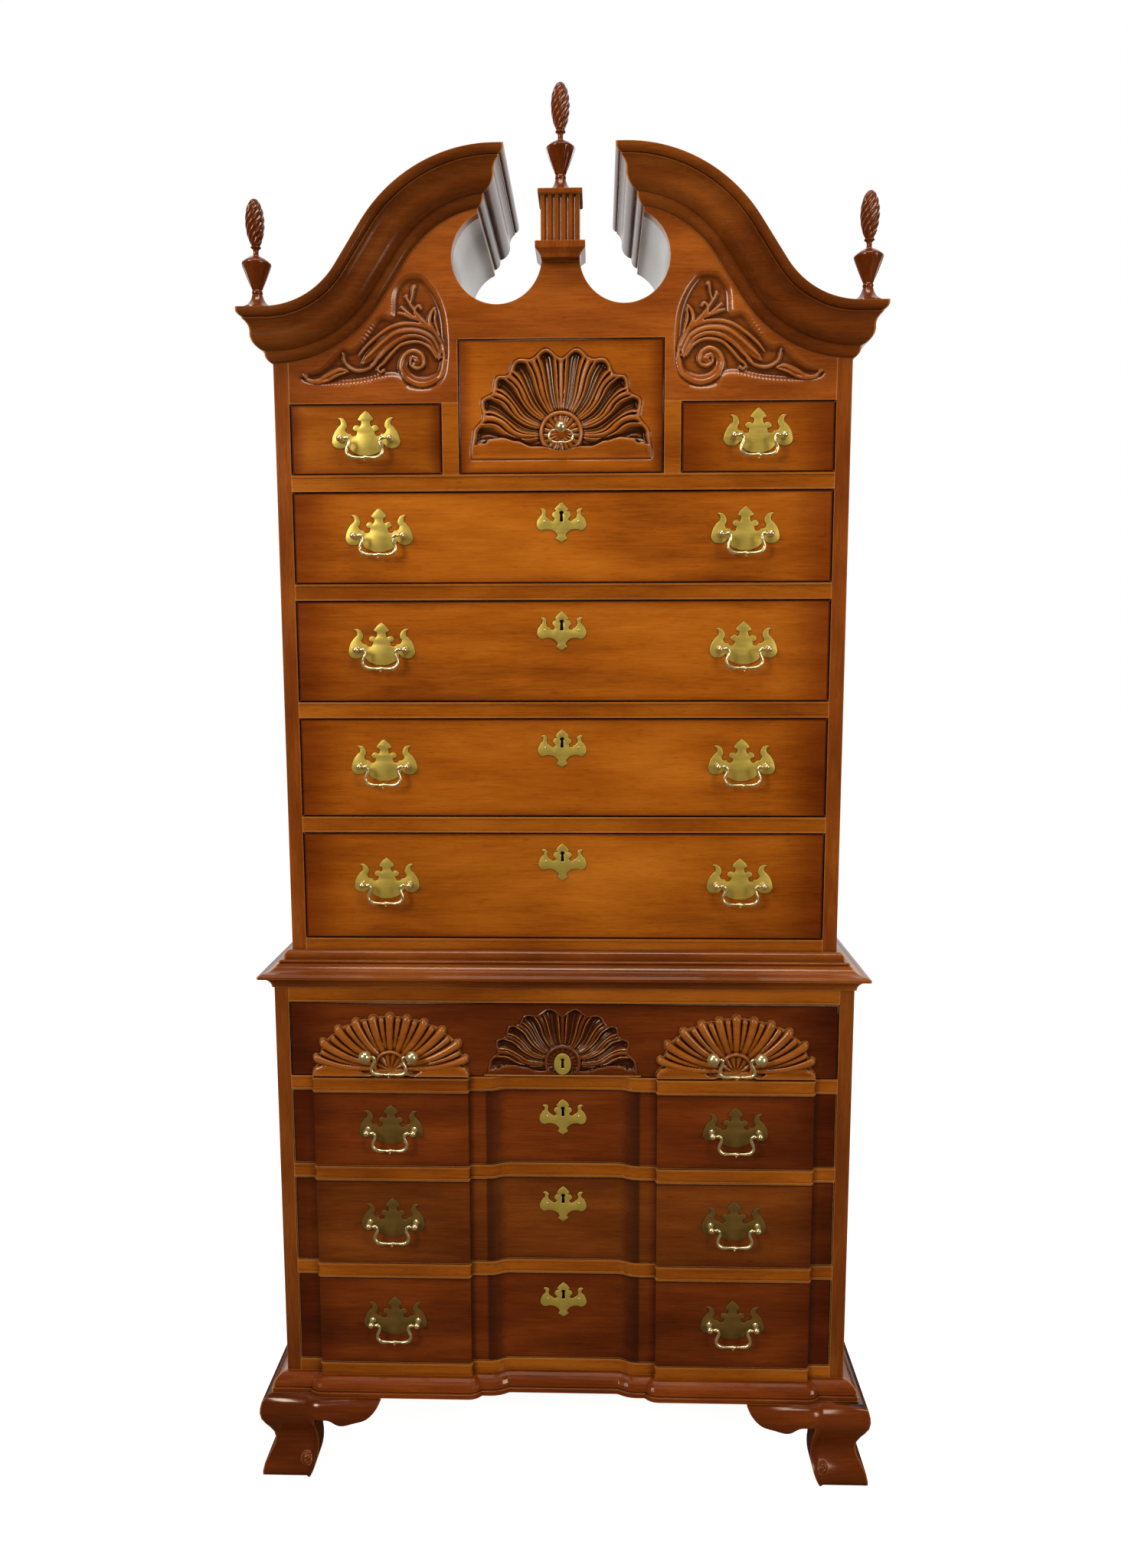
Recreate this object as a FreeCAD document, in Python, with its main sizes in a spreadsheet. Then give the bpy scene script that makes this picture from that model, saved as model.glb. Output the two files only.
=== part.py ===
"""Block-front chest-on-chest with a bonnet top: the construction, millimetres.

+Z is up, the fronts face -Y, and the origin is on the floor under the middle of the whole piece.
Two cases stand one on the other. Both are boards and dust frames, their drawers slide forward
between the rails, and every brass bail swings on its own pair of posts.
"""
import FreeCAD, Part
import math
import os
from types import SimpleNamespace

Vector = FreeCAD.Vector
X_AXIS = Vector(1, 0, 0)
Y_AXIS = Vector(0, 1, 0)
Z_AXIS = Vector(0, 0, 1)
SIDES = {"left": -1, "right": 1}

doc = FreeCAD.newDocument("highboy")

# --------------------------------------------------------------------------- driving sizes
DRIVING = {
    # cases
    "upper_width": 885,
    "case_depth": 450,
    "lower_step": 25,
    "side_board": 23,
    "back_board": 8,
    "top_board": 18,
    "rail_depth": 60,
    "runner_width": 50,
    "kicker_thick": 12,
    "bead_height": 3,
    "bead_rise": 1.4,
    # levels, floor upwards
    "foot_height": 139,
    "base_height": 28,
    "base_rail": 21,
    "block_drawer_3": 154.5,
    "block_drawer_2": 146.5,
    "block_drawer_1": 128,
    "shell_drawer": 125,
    "lower_rail": 23,
    "lower_top_rail": 27,
    "lower_top_board": 20,
    "sill_height": 52.5,
    "upper_drawer_4": 175,
    "upper_drawer_3": 159,
    "upper_drawer_2": 160,
    "upper_drawer_1": 142,
    "upper_rail": 25,
    "small_drawer": 107.5,
    "fan_drawer": 201.5,
    "fan_width": 316.5,
    "partition": 25.5,
    "fan_head": 3,
    # block front
    "block_inner_share": 0.3273,
    "block_outer_share": 0.8706,
    "block_rise": 11,
    "block_round": 4,
    "recess_margin": 65,
    "recess_depth": 10,
    "recess_run": 34,
    # drawers
    "front_thick": 22,
    "front_gap": 1.2,
    "front_ease": 1.5,
    "drawer_back_room": 42,
    "drawer_board": 12,
    "drawer_bottom": 6,
    "drawer_lower_edge": 10,
    "side_clear": 1.5,
    "ride_clear": 0.4,
    "drawer_head": 4,
    # mouldings
    "waist_height": 58.5,
    "waist_lap": 25,
    "waist_over": 22,
    "base_over": 22,
    "cornice_height": 74,
    "cornice_over": 43,
    "cornice_corner": 1888,
    "scroll_top": 2113,
    # swan neck
    "scroll_start": 96,
    "neck_upper_share": 0.63,
    "neck_lower_share": 0.34,
    # bonnet
    "scroll_thick": 20,
    "bonnet_depth": 300,
    "bonnet_skin": 6,
    "hole_radius": 68.5,
    "hole_offset": 97,
    "hole_height": 1967,
    "slot_half": 125,
    # plinth and finials
    "pillar_top": 1960,
    "plinth_foot": 21,
    "plinth_shaft": 67,
    "plinth_cap": 8,
    "plinth_width": 58,
    "plinth_over": 8.5,
    "flutes": 5,
    "flute_radius": 3.2,
    "finial_height": 161,
    "finial_inset": 27,
    "finial_seat": 15.5,
    "finial_relief": 0.4,
    "urn_radius": 21.3,
    "flame_radius": 13.7,
    # feet
    "foot_bulge": 39,
    "foot_neck": 19,
    "foot_pad": 37.5,
    "foot_reach": 164,
    "foot_board": 6,
    "foot_leg": 56,
    "corner_block_setback": 12,
    # brasses
    "boring": 76.2,
    "plate_thick": 1.6,
    "post_reach": 14,
    "post_ball": 5.2,
    "post_collar": 3,
    "post_stem": 3.5,
    "knob_ball": 8.8,
    "knob_stem": 3.5,
    "knob_clear": 0.4,
    "pin_radius": 1.5,
    "pin_clearance": 0.05,
    "bail_wire": 2.1,
    "bail_drop": 28.9,
    "bail_knuckle": 7,
    "bail_waist": 1.5,
    "bail_grip_inset": 11,
    "ring_wire": 1.3,
    "ring_half": 19,
    "bail_gap": 0.6,
    "ring_drop": 18.5,
    "ring_pivot": 8,
    "pull_margin": 135,
    "pull_lift": 3,
    "escutcheon_below": 18,
    "keyhole_radius": 3,
    "keyhole_foot": 2.9,
    "keyhole_tall": 13.6,
    "keyhole_below": 15.8,
    "lock_deep": 12,
    "key_oval_wide": 28,
    "key_oval_tall": 36,
    "key_oval_rise": 19.5,
    # carving
    "carve_deep": 8,
    "shell_lobes": 11,
    "shell_half": 124,
    "shell_height": 106,
    "shell_base": 12,
    "shell_edge": 3,
    "shell_eye": 26,
    "shell_tip": 6.5,
    "shell_rise": 13,
    "shell_pull_rise": 40,
    "fan_half": 139,
    "fan_tall": 157,
    "fan_base": 27,
    "fan_edge": 26,
    "fan_pull_rise": 15,
}

sheet = doc.addObject("Spreadsheet::Sheet", "dims")
for row, (alias, value) in enumerate(DRIVING.items(), start=1):
    sheet.set(f"A{row}", alias)
    sheet.set(f"B{row}", str(value))
    sheet.setAlias(f"B{row}", alias)

# --------------------------------------------------------------------------- derived levels
DERIVED = {
    "upper_half": "dims.upper_width / 2",
    "lower_half": "dims.upper_width / 2 + dims.lower_step",
    "upper_open": "levels.upper_half - dims.side_board",
    "lower_open": "levels.lower_half - dims.side_board",
    # depth, with the whole piece centred on y = 0
    "front": "(dims.lower_step + dims.block_rise + dims.foot_bulge - dims.case_depth) / 2",
    "lower_front": "levels.front - dims.lower_step",
    "back": "levels.front + dims.case_depth",
    "inside_back": "levels.back - dims.back_board",
    "bonnet_back": "levels.front + dims.bonnet_depth",
    "drawer_length": "dims.case_depth - dims.back_board - dims.drawer_back_room",
    # lower case
    "base_top": "dims.foot_height + dims.base_height",
    "block_3_low": "levels.base_top + dims.base_rail",
    "block_3_high": "levels.block_3_low + dims.block_drawer_3",
    "block_2_low": "levels.block_3_high + dims.lower_rail",
    "block_2_high": "levels.block_2_low + dims.block_drawer_2",
    "block_1_low": "levels.block_2_high + dims.lower_rail",
    "block_1_high": "levels.block_1_low + dims.block_drawer_1",
    "shell_low": "levels.block_1_high + dims.lower_rail",
    "shell_high": "levels.shell_low + dims.shell_drawer",
    "lower_board_low": "levels.shell_high + dims.lower_top_rail",
    "seat": "levels.lower_board_low + dims.lower_top_board",
    # upper case
    "upper_4_low": "levels.seat + dims.sill_height",
    "upper_4_high": "levels.upper_4_low + dims.upper_drawer_4",
    "upper_3_low": "levels.upper_4_high + dims.upper_rail",
    "upper_3_high": "levels.upper_3_low + dims.upper_drawer_3",
    "upper_2_low": "levels.upper_3_high + dims.upper_rail",
    "upper_2_high": "levels.upper_2_low + dims.upper_drawer_2",
    "upper_1_low": "levels.upper_2_high + dims.upper_rail",
    "upper_1_high": "levels.upper_1_low + dims.upper_drawer_1",
    "small_low": "levels.upper_1_high + dims.upper_rail",
    "small_high": "levels.small_low + dims.small_drawer",
    "fan_high": "levels.small_low + dims.fan_drawer",
    "fan_open": "dims.fan_width / 2",
    "small_inner": "levels.fan_open + dims.partition",
    "small_middle": "(levels.small_inner + levels.upper_open) / 2",
    "small_half": "(levels.upper_open - levels.small_inner) / 2",
    "case_top": "levels.fan_high + dims.fan_head + dims.top_board",
    "side_top": "dims.cornice_corner - dims.bonnet_skin",
    # swan neck: two arcs meet without a straight run when their radii add up to neck_sum
    "neck_across": "levels.upper_half - dims.scroll_start",
    "neck_drop": "dims.scroll_top - dims.cornice_corner",
    "neck_sum": "(levels.neck_across ^ 2 + levels.neck_drop ^ 2) / (2 * levels.neck_drop)",
    "neck_upper_radius": "levels.neck_sum * dims.neck_upper_share",
    "neck_lower_radius": "levels.neck_sum * dims.neck_lower_share",
    # block front
    "block_inner": "levels.lower_half * dims.block_inner_share",
    "block_outer": "levels.lower_half * dims.block_outer_share",
    "block_middle": "(levels.block_inner + levels.block_outer) / 2",
    "recess_half": "levels.block_inner - dims.recess_margin",
    "pull_offset": "levels.upper_open - dims.pull_margin",
    # room that shapes are drawn past a mitre before it cuts them
    "mitre_room": "levels.upper_half / 4",
    # ornament
    "hole_floor": "dims.hole_height - dims.hole_radius",
    "plinth_top": "dims.pillar_top + dims.plinth_foot + dims.plinth_shaft + dims.plinth_cap",
}
levels = doc.addObject("App::VarSet", "levels")
for name, formula in DERIVED.items():
    levels.addProperty("App::PropertyFloat", name)
    levels.setExpression(name, formula)
doc.recompute()

s = SimpleNamespace()
for name in DRIVING:
    setattr(s, name, float(getattr(sheet, name)))
for name in DERIVED:
    setattr(s, name, float(getattr(levels, name)))


# --------------------------------------------------------------------------- document helpers
def board(name, x, y, z):
    """A square-edged board between two formulas along each axis."""
    box = doc.addObject("Part::Box", name)
    for length, place, (low, high) in zip(("Length", "Width", "Height"), "xyz", (x, y, z)):
        box.setExpression(length, f"({high}) - ({low})")
        box.setExpression(f"Placement.Base.{place}", low)
    return box


def feature(name, shape):
    """A piece whose shape is worked out by Part's own functions."""
    piece = doc.addObject("Part::Feature", name)
    piece.Shape = shape
    return piece


def group(name, pieces):
    """One sub-part made of several separate solids."""
    compound = doc.addObject("Part::Compound", name)
    compound.Links = pieces
    return compound


def curves(start, steps):
    """Flat geometry from a start point: ("line", end), ("arc", via, end) or ("curve", points)."""
    drawn = []
    here = Vector(*start)
    for kind, *points in steps:
        marks = [Vector(*point) for point in points]
        if kind == "line":
            drawn.append(Part.LineSegment(here, marks[0]))
        elif kind == "arc":
            drawn.append(Part.Arc(here, marks[0], marks[1]))
        else:
            spline = Part.BSplineCurve()
            spline.interpolate([here] + marks)
            drawn.append(spline)
        here = marks[-1]
    if here.distanceToPoint(Vector(*start)) > 1e-6:
        drawn.append(Part.LineSegment(here, Vector(*start)))
    return drawn


def mirrored(start, steps):
    """Carry a half outline, which runs from x = 0 to x = 0, on round its mirror image."""
    marks = [start] + [step[-1] for step in steps]
    back = []
    for index in range(len(steps) - 1, -1, -1):
        kind, *points = steps[index]
        between = [(-x, y) for x, y in reversed(points[:-1])]
        back.append((kind, *between, (-marks[index][0], marks[index][1])))
    return start, steps + back


def polyline(points):
    """An outline of straight lines as a start point and steps."""
    return points[0], [("line", point) for point in points[1:]]


def face_on(origin, across, upward, outline):
    """A face whose outline is drawn with one axis along across and the other along upward."""
    face = Part.Face(Part.Wire([curve.toShape() for curve in curves(*outline)]))
    face.Placement = FreeCAD.Placement(origin, FreeCAD.Rotation(across, upward,
                                                                across.cross(upward), "XYZ"))
    return face


def plan(points, low, high):
    """Extrude a polygon of (x, y) points between two heights."""
    return face_on(Z_AXIS * low, X_AXIS, Y_AXIS, polyline(points)).extrude(Z_AXIS * (high - low))


def mirror_x(shape):
    return shape.mirror(Vector(0, 0, 0), X_AXIS)


def sketch_on(body, role, offset, outline):
    """A sketch on one of a body's own planes, moved along the plane's normal by a formula."""
    plane = next(item for item in body.Origin.OriginFeatures if item.Role == role)
    sketch = body.newObject("Sketcher::SketchObject", f"{body.Name}_sketch")
    sketch.AttachmentSupport = [(plane, "")]
    sketch.MapMode = "FlatFace"
    sketch.setExpression("AttachmentOffset.Base.z", offset)
    sketch.addGeometry(curves(*outline), False)
    return sketch


def front_pad(name, outline, back, thickness, holes=()):
    """A body padded forward, drawn as seen from the front. back is its rear face's formula."""
    body = doc.addObject("PartDesign::Body", name)
    pad = body.newObject("PartDesign::Pad", f"{name}_pad")
    sketch = sketch_on(body, "XZ_Plane", f"-({back})", outline)
    for hole in holes:
        sketch.addGeometry(curves(*hole), False)
    pad.Profile = sketch
    pad.setExpression("Length", thickness)
    return body


def plan_pads(name, layers):
    """A body built of pads drawn in plan, given as (outline, low, height) with formulas."""
    body = doc.addObject("PartDesign::Body", name)
    for number, (outline, low, height) in enumerate(layers):
        sketch = sketch_on(body, "XY_Plane", low, outline)
        pad = body.newObject("PartDesign::Pad", f"{name}_pad_{number}")
        pad.Profile = sketch
        pad.setExpression("Length", height)
    return body


def turning(name, outline, x, y, z):
    """A body turned about its own upright axis, which stands at three formulas."""
    body = doc.addObject("PartDesign::Body", name)
    turned = body.newObject("PartDesign::Revolution", f"{name}_turned")
    sketch = sketch_on(body, "XZ_Plane", "0", outline)
    turned.Profile = sketch
    turned.ReferenceAxis = (sketch, ["V_Axis"])
    turned.Angle = 360
    for axis, place in zip("xyz", (x, y, z)):
        body.setExpression(f"Placement.Base.{axis}", place)
    return body


# --------------------------------------------------------------------------- block-front outline
STEP_POINTS = 4
OGEE_POINTS = 4


def block_step(offset):
    """The rise from the flat strip to the block, as (run, forward) pairs from strip to block.

    The corner is rounded. An outline stood off by offset keeps the same centre.
    """
    centre_y = s.block_rise - s.block_round
    radius = s.block_round + offset
    straight = max(0.0, centre_y - offset)
    first = 0.0 if straight else math.asin((offset - centre_y) / radius)
    swing = math.pi / 2 - first
    total = straight + radius * swing
    points = []
    for index in range(STEP_POINTS + 1):
        along = total * index / STEP_POINTS
        if along < straight:
            points.append((-offset, offset + along))
        else:
            angle = first + (along - straight) / radius
            points.append((s.block_round - radius * math.cos(angle),
                           centre_y + radius * math.sin(angle)))
    return points


def recess_ogee(offset):
    """The ogee from the sunk centre to the flat strip, as (x, forward) pairs."""
    turn = 2 * math.atan2(s.recess_depth, s.recess_run)
    radius = s.recess_run / (2 * math.sin(turn))
    points = []
    for index in range(OGEE_POINTS + 1):
        angle = turn * index / OGEE_POINTS
        points.append((s.recess_half + (radius - offset) * math.sin(angle),
                       radius - s.recess_depth - (radius - offset) * math.cos(angle)))
    for index in range(OGEE_POINTS - 1, -1, -1):
        angle = turn * index / OGEE_POINTS
        points.append((s.recess_half + s.recess_run - (radius + offset) * math.sin(angle),
                       (radius + offset) * math.cos(angle) - radius))
    return points


def block_line(half, offset=0.0):
    """The blocked front edge from left to right, stood off forward by offset."""
    right = recess_ogee(offset)
    right += [(s.block_inner + run, forward) for run, forward in block_step(offset)]
    right += [(s.block_outer - run, forward) for run, forward in reversed(block_step(offset))]
    right.append((half, offset))
    left = [(-x, forward) for x, forward in reversed(right)]
    return [(x, s.lower_front - forward) for x, forward in left + right]


def block_end(half, offset):
    """The part of the blocked edge from the middle of the right-hand block to its end."""
    edge = [(s.block_outer - run, forward) for run, forward in reversed(block_step(offset))]
    edge = [(s.block_middle, s.block_rise + offset)] + edge + [(half, offset)]
    return [(x, s.lower_front - forward) for x, forward in edge]


def blocked_outline(half, back, offset=0.0):
    """Plan outline with the blocked line in front and a straight back."""
    return block_line(half, offset) + [(half, back), (-half, back)]


# --------------------------------------------------------------------------- mitred mouldings
def front_wedge(half, front, low, high):
    """The room that a front moulding may fill between its two mitres."""
    far = s.mitre_room
    points = [(-half - far, front - far), (half + far, front - far),
              (half - far, front + far), (-half + far, front + far)]
    return plan(points, low, high)


def side_wedge(half, front, back, low, high):
    """The room that a right-hand side moulding may fill behind its mitre."""
    far = s.mitre_room
    points = [(half + far, front - far), (half + far, back), (half - far, back),
              (half - far, front + far)]
    return plan(points, low, high)


# --------------------------------------------------------------------------- the two cases
def case_side(name, case, side):
    """One side board of a case, full height, with the scratched bead down its front edge."""
    if case == "upper":
        outer, inner, front = "levels.upper_half", "levels.upper_open", "levels.front"
        low, high = "levels.seat", "levels.side_top"
    else:
        outer, inner, front = "levels.lower_half", "levels.lower_open", "levels.lower_front"
        low, high = "dims.foot_height", "levels.seat"
    x = (inner, outer) if side > 0 else (f"-{outer}", f"-{inner}")
    return board(name, x, (front, "levels.inside_back"), (low, high))


def dust_frame(stem, half, front, low, high):
    """Runners at both sides and a cross rail at the back, behind a front rail."""
    start = f"{front} + dims.rail_depth"
    end = "levels.inside_back"
    heights = (low, high)
    left = board(f"{stem}_runner_left", (f"-{half}", f"-{half} + dims.runner_width"),
                 (start, end), heights)
    right = board(f"{stem}_runner_right", (f"{half} - dims.runner_width", half),
                  (start, end), heights)
    cross = board(f"{stem}_cross",
                  (f"-{half} + dims.runner_width", f"{half} - dims.runner_width"),
                  (f"{end} - dims.runner_width", end), heights)
    return [left, right, cross]


def front_rail(name, line, half, front, low, high, beads):
    """A front rail whose front edge is line(offset), with a bead along the edges in beads.

    half is a number; front, low and high are formulas.
    """
    back = s.rail_depth + (s.front if front == "levels.front" else s.lower_front)
    tail = [(half, back), (-half, back)]
    layers = [(polyline(line(0.0) + tail), low, f"({high}) - ({low})")]
    bead = polyline(line(s.bead_rise) + tail)
    if "low" in beads:
        layers.append((bead, low, "dims.bead_height"))
    if "high" in beads:
        layers.append((bead, f"({high}) - dims.bead_height", "dims.bead_height"))
    return plan_pads(name, layers)


def upper_rail(name, low, high, beads):
    """A straight rail of the upper case."""
    def line(offset):
        return [(-s.upper_open, s.front - offset), (s.upper_open, s.front - offset)]
    return front_rail(name, line, s.upper_open, "levels.front", low, high, beads)


def straight_lower_rail(name, low, high, beads):
    """A straight rail of the lower case, above its shell drawer."""
    def line(offset):
        return [(-s.lower_open, s.lower_front - offset), (s.lower_open, s.lower_front - offset)]
    return front_rail(name, line, s.lower_open, "levels.lower_front", low, high, beads)


def blocked_rail(name, low, high, beads):
    """A rail of the lower case whose front edge and beads follow the block front."""
    def line(offset):
        return block_line(s.lower_open, offset)
    return front_rail(name, line, s.lower_open, "levels.lower_front", low, high, beads)


def upper_frame():
    """Sill, rails, runners, partitions, kickers and top board of the upper case."""
    inside = "levels.upper_open"
    deep = ("levels.front + dims.rail_depth", "levels.inside_back")
    pieces = [upper_rail("upper_sill", "levels.seat", "levels.upper_4_low", ["high"]),
              board("upper_bottom", (f"-{inside}", inside), deep,
                    ("levels.seat", "levels.seat + dims.kicker_thick"))]
    pieces += dust_frame("upper_sill", inside, "levels.front",
                         "levels.upper_4_low - dims.upper_rail", "levels.upper_4_low")
    for number in (4, 3, 2, 1):
        low = f"levels.upper_{number}_high"
        high = f"{low} + dims.upper_rail"
        pieces.append(upper_rail(f"upper_rail_{number}", low, high, ["low", "high"]))
        pieces += dust_frame(f"upper_frame_{number}", inside, "levels.front", low, high)
    far = "levels.front + dims.scroll_thick"
    for word, side in SIDES.items():
        inner, outer = "levels.fan_open", "levels.small_inner"
        x = (inner, outer) if side > 0 else (f"-{outer}", f"-{inner}")
        pieces.append(board(f"partition_stile_{word}", x, ("levels.front", far),
                            ("levels.small_low", "levels.small_high")))
        pieces.append(board(f"partition_{word}", x, (far, "levels.inside_back"),
                            ("levels.small_low", "levels.case_top - dims.top_board")))
        x = (outer, inside) if side > 0 else (f"-{inside}", f"-{outer}")
        pieces.append(board(f"small_kicker_{word}", x, (far, "levels.inside_back"),
                            ("levels.small_high", "levels.small_high + dims.kicker_thick")))
    pieces.append(board("upper_top", (f"-{inside}", inside), (far, "levels.inside_back"),
                        ("levels.case_top - dims.top_board", "levels.case_top")))
    return group("upper_frame", pieces)


def lower_frame():
    """Blocked rails, runners, bottom, top rail and top board of the lower case."""
    inside = "levels.lower_open"
    front = "levels.lower_front"
    pieces = [board("lower_bottom", (f"-{inside}", inside),
                    (f"{front} + dims.rail_depth", "levels.inside_back"),
                    ("dims.foot_height", "dims.foot_height + dims.kicker_thick")),
              blocked_rail("lower_base_rail", "dims.foot_height", "levels.block_3_low", ["high"])]
    pieces += dust_frame("lower_base", inside, front, "levels.block_3_low - dims.lower_rail",
                         "levels.block_3_low")
    for number in (3, 2, 1):
        low = f"levels.block_{number}_high"
        high = f"{low} + dims.lower_rail"
        pieces.append(blocked_rail(f"lower_rail_{number}", low, high, ["low", "high"]))
        pieces += dust_frame(f"lower_frame_{number}", inside, front, low, high)
    pieces.append(straight_lower_rail("lower_top_rail", "levels.shell_high",
                                      "levels.lower_board_low", ["low"]))
    for word, side in SIDES.items():
        x = (inside, f"{inside} - dims.runner_width")
        x = (x[1], x[0]) if side > 0 else (f"-{x[0]}", f"-({x[1]})")
        pieces.append(board(f"shell_kicker_{word}", x,
                            (f"{front} + dims.rail_depth", "levels.inside_back"),
                            ("levels.shell_high", "levels.lower_board_low")))
    pieces.append(board("lower_top", (f"-{inside}", inside), (front, "levels.inside_back"),
                        ("levels.lower_board_low", "levels.seat")))
    return group("lower_frame", pieces)


def case_backs():
    """The two back boards, one for each case."""
    upper = board("upper_back", ("-levels.upper_half", "levels.upper_half"),
                  ("levels.inside_back", "levels.back"), ("levels.seat", "levels.case_top"))
    lower = board("lower_back", ("-levels.lower_half", "levels.lower_half"),
                  ("levels.inside_back", "levels.back"), ("dims.foot_height", "levels.seat"))
    return group("case_backs", [upper, lower])


# --------------------------------------------------------------------------- waist and base
def waist_profile():
    """Profile of the waist moulding, out from the upper case and up from its lower edge."""
    tall, lap, step = s.waist_height, s.waist_lap, s.lower_step
    tip = step + s.waist_over
    upper = tall - lap
    return (0, tall), [
        ("arc", (tip * 0.17, tall - upper * 0.06), (tip * 0.24, tall - upper * 0.26)),
        ("line", (tip * 0.24, tall - upper * 0.40)),
        ("line", (tip * 0.33, tall - upper * 0.42)),
        ("arc", (tip * 0.40, tall - upper * 0.48), (tip * 0.37, tall - upper * 0.56)),
        ("line", (tip * 0.44, tall - upper * 0.60)),
        ("arc", (tip * 0.60, tall - upper * 0.84), (tip * 0.88, lap + upper * 0.06)),
        ("line", (tip, lap - 1)),
        ("line", (tip, lap * 0.80)),
        ("line", (tip - 2, lap * 0.76)),
        ("arc", (step + 7, lap * 0.52), (step + 3, lap * 0.08)),
        ("line", (step, lap * 0.08)),
        ("line", (step, lap)),
        ("line", (0, lap)),
    ]


def waist_moulding():
    """Front and side waist mouldings, mitred at the corners, lapping both cases."""
    low = s.seat - s.waist_lap
    top = low + s.waist_height
    reach = s.upper_half + s.mitre_room
    front = face_on(Vector(-reach, s.front, low), -Y_AXIS, Z_AXIS, waist_profile())
    front = front.extrude(X_AXIS * 2 * reach)
    front = front.common(front_wedge(s.upper_half, s.front, low, top))
    side = face_on(Vector(s.upper_half, s.front - s.mitre_room, low), X_AXIS, Z_AXIS, waist_profile())
    side = side.extrude(Y_AXIS * (s.case_depth + s.mitre_room))
    side = side.common(side_wedge(s.upper_half, s.front, s.back, low, top))
    return group("waist_moulding", [feature("waist_front", front), feature("waist_right", side),
                                    feature("waist_left", mirror_x(side))])


FLAT = 1e-5


def banded(rings):
    """A closed solid from level rings of corners, each ring joined to the next by facets."""
    outlines = [rings[0], rings[-1]]
    for lower, upper in zip(rings, rings[1:]):
        for index in range(len(lower)):
            a, b = lower[index - 1], lower[index]
            c, d = upper[index], upper[index - 1]
            twist = abs((b - a).cross(c - a).normalize().dot(d - a))
            outlines += [[a, b, c, d]] if twist < FLAT else [[a, b, c], [a, c, d]]
    faces = [Part.Face(Part.makePolygon(ring + ring[:1])) for ring in outlines]
    solid = Part.Solid(Part.makeShell(faces))
    solid.fix(FLAT, FLAT, FLAT)
    return solid


def blocked_moulding(profile, line, behind, low):
    """A moulding or bracket that follows the block front, from (out, up) pairs of its profile.

    line(offset) gives its front edge, and behind is the depth of its flat back.
    """
    rings = []
    for out, up in profile:
        edge = line(out)
        rings.append([Vector(x, y, low + up) for x, y in
                      edge + [(edge[-1][0], behind), (edge[0][0], behind)]])
    return banded(rings)


def side_moulding(levels_up, low, near, far):
    """The same profile run straight along the right-hand side of the lower case."""
    top = max(up for _, up in levels_up)
    outline = polyline(levels_up + [(0, top), (0, 0)])
    face = face_on(Vector(s.lower_half, near, low), X_AXIS, Z_AXIS, outline)
    return face.extrude(Y_AXIS * (far - near))


def base_profile():
    """Base moulding: a square lower edge, a quirk, and a quarter round above it."""
    over, tall = s.base_over, s.base_height
    square, round_low = tall * 0.27, tall * 0.40
    round_out = over * 0.92
    points = [(over, 0), (over, square), (over * 0.86, square + 1.2), (over * 0.86, round_low - 1)]
    for step in range(6):
        angle = math.pi / 2 * step / 5
        points.append((0.6 + (round_out - 0.6) * math.cos(angle),
                       round_low + (tall - round_low) * math.sin(angle)))
    return points


def base_moulding():
    """Front base moulding round the blocks and a straight one along each side."""
    low, top = s.foot_height, s.base_top
    reach = s.lower_half + s.mitre_room / 2
    behind = s.lower_front + s.recess_depth + 1
    front = blocked_moulding(base_profile(), lambda out: block_line(reach, out), behind, low)
    case_front = plan(blocked_outline(reach + 1, behind + 1), low - 1, top + 1)
    front = front.cut(case_front).common(front_wedge(s.lower_half, s.lower_front, low, top))
    side = side_moulding(base_profile(), low, s.lower_front - s.mitre_room, s.back)
    side = side.common(side_wedge(s.lower_half, s.lower_front, s.back, low, top))
    return group("base_moulding", [feature("base_front", front), feature("base_right", side),
                                   feature("base_left", mirror_x(side))])


# --------------------------------------------------------------------------- ogee bracket feet
def foot_profile():
    """Ogee of a bracket foot as (out, up) pairs: pad, hollow neck, round knee, neck of the case."""
    tall = s.foot_height
    pad_top, neck_at, knee_at = tall * 0.05, tall * 0.40, tall * 0.81
    top_out = s.foot_bulge - 11
    points = [(s.foot_pad, 0), (s.foot_pad, pad_top)]
    for step in range(1, 5):
        swing = (1 + math.cos(math.pi * step / 4)) / 2
        points.append((s.foot_neck + (s.foot_pad - s.foot_neck) * swing,
                       pad_top + (neck_at - pad_top) * step / 4))
    for step in range(1, 6):
        swing = (1 - math.cos(math.pi * step / 5)) / 2
        points.append((s.foot_neck + (s.foot_bulge - s.foot_neck) * swing,
                       neck_at + (knee_at - neck_at) * step / 5))
    for step in range(1, 4):
        part = step / 3
        points.append((top_out + (s.foot_bulge - top_out) * math.sqrt(1 - part ** 2),
                       knee_at + (tall - knee_at) * part))
    return points


def foot_opening():
    """The bracket's cut-out, along the case from its corner and up from the floor."""
    near, reach, tall = s.foot_leg, s.foot_reach, s.foot_height
    arch = tall * 0.785
    return (near - 14, -1), [
        ("line", (near - 14, 0)),
        ("arc", (near - 2, tall * 0.20), (near, tall * 0.47)),
        ("arc", (near - 0.5, tall * 0.60), (near - 3, arch)),
        ("line", (near + 16, arch)),
        ("curve", (near + 28, tall * 0.755), (near + 40, tall * 0.70), (near + 60, tall * 0.735),
         (near + 82, tall * 0.79), (near + 97, tall * 0.88), (reach, tall * 0.995)),
        ("line", (reach, tall + 1)),
        ("line", (reach + s.mitre_room, tall + 1)),
        ("line", (reach + s.mitre_room, -1)),
    ]


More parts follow.
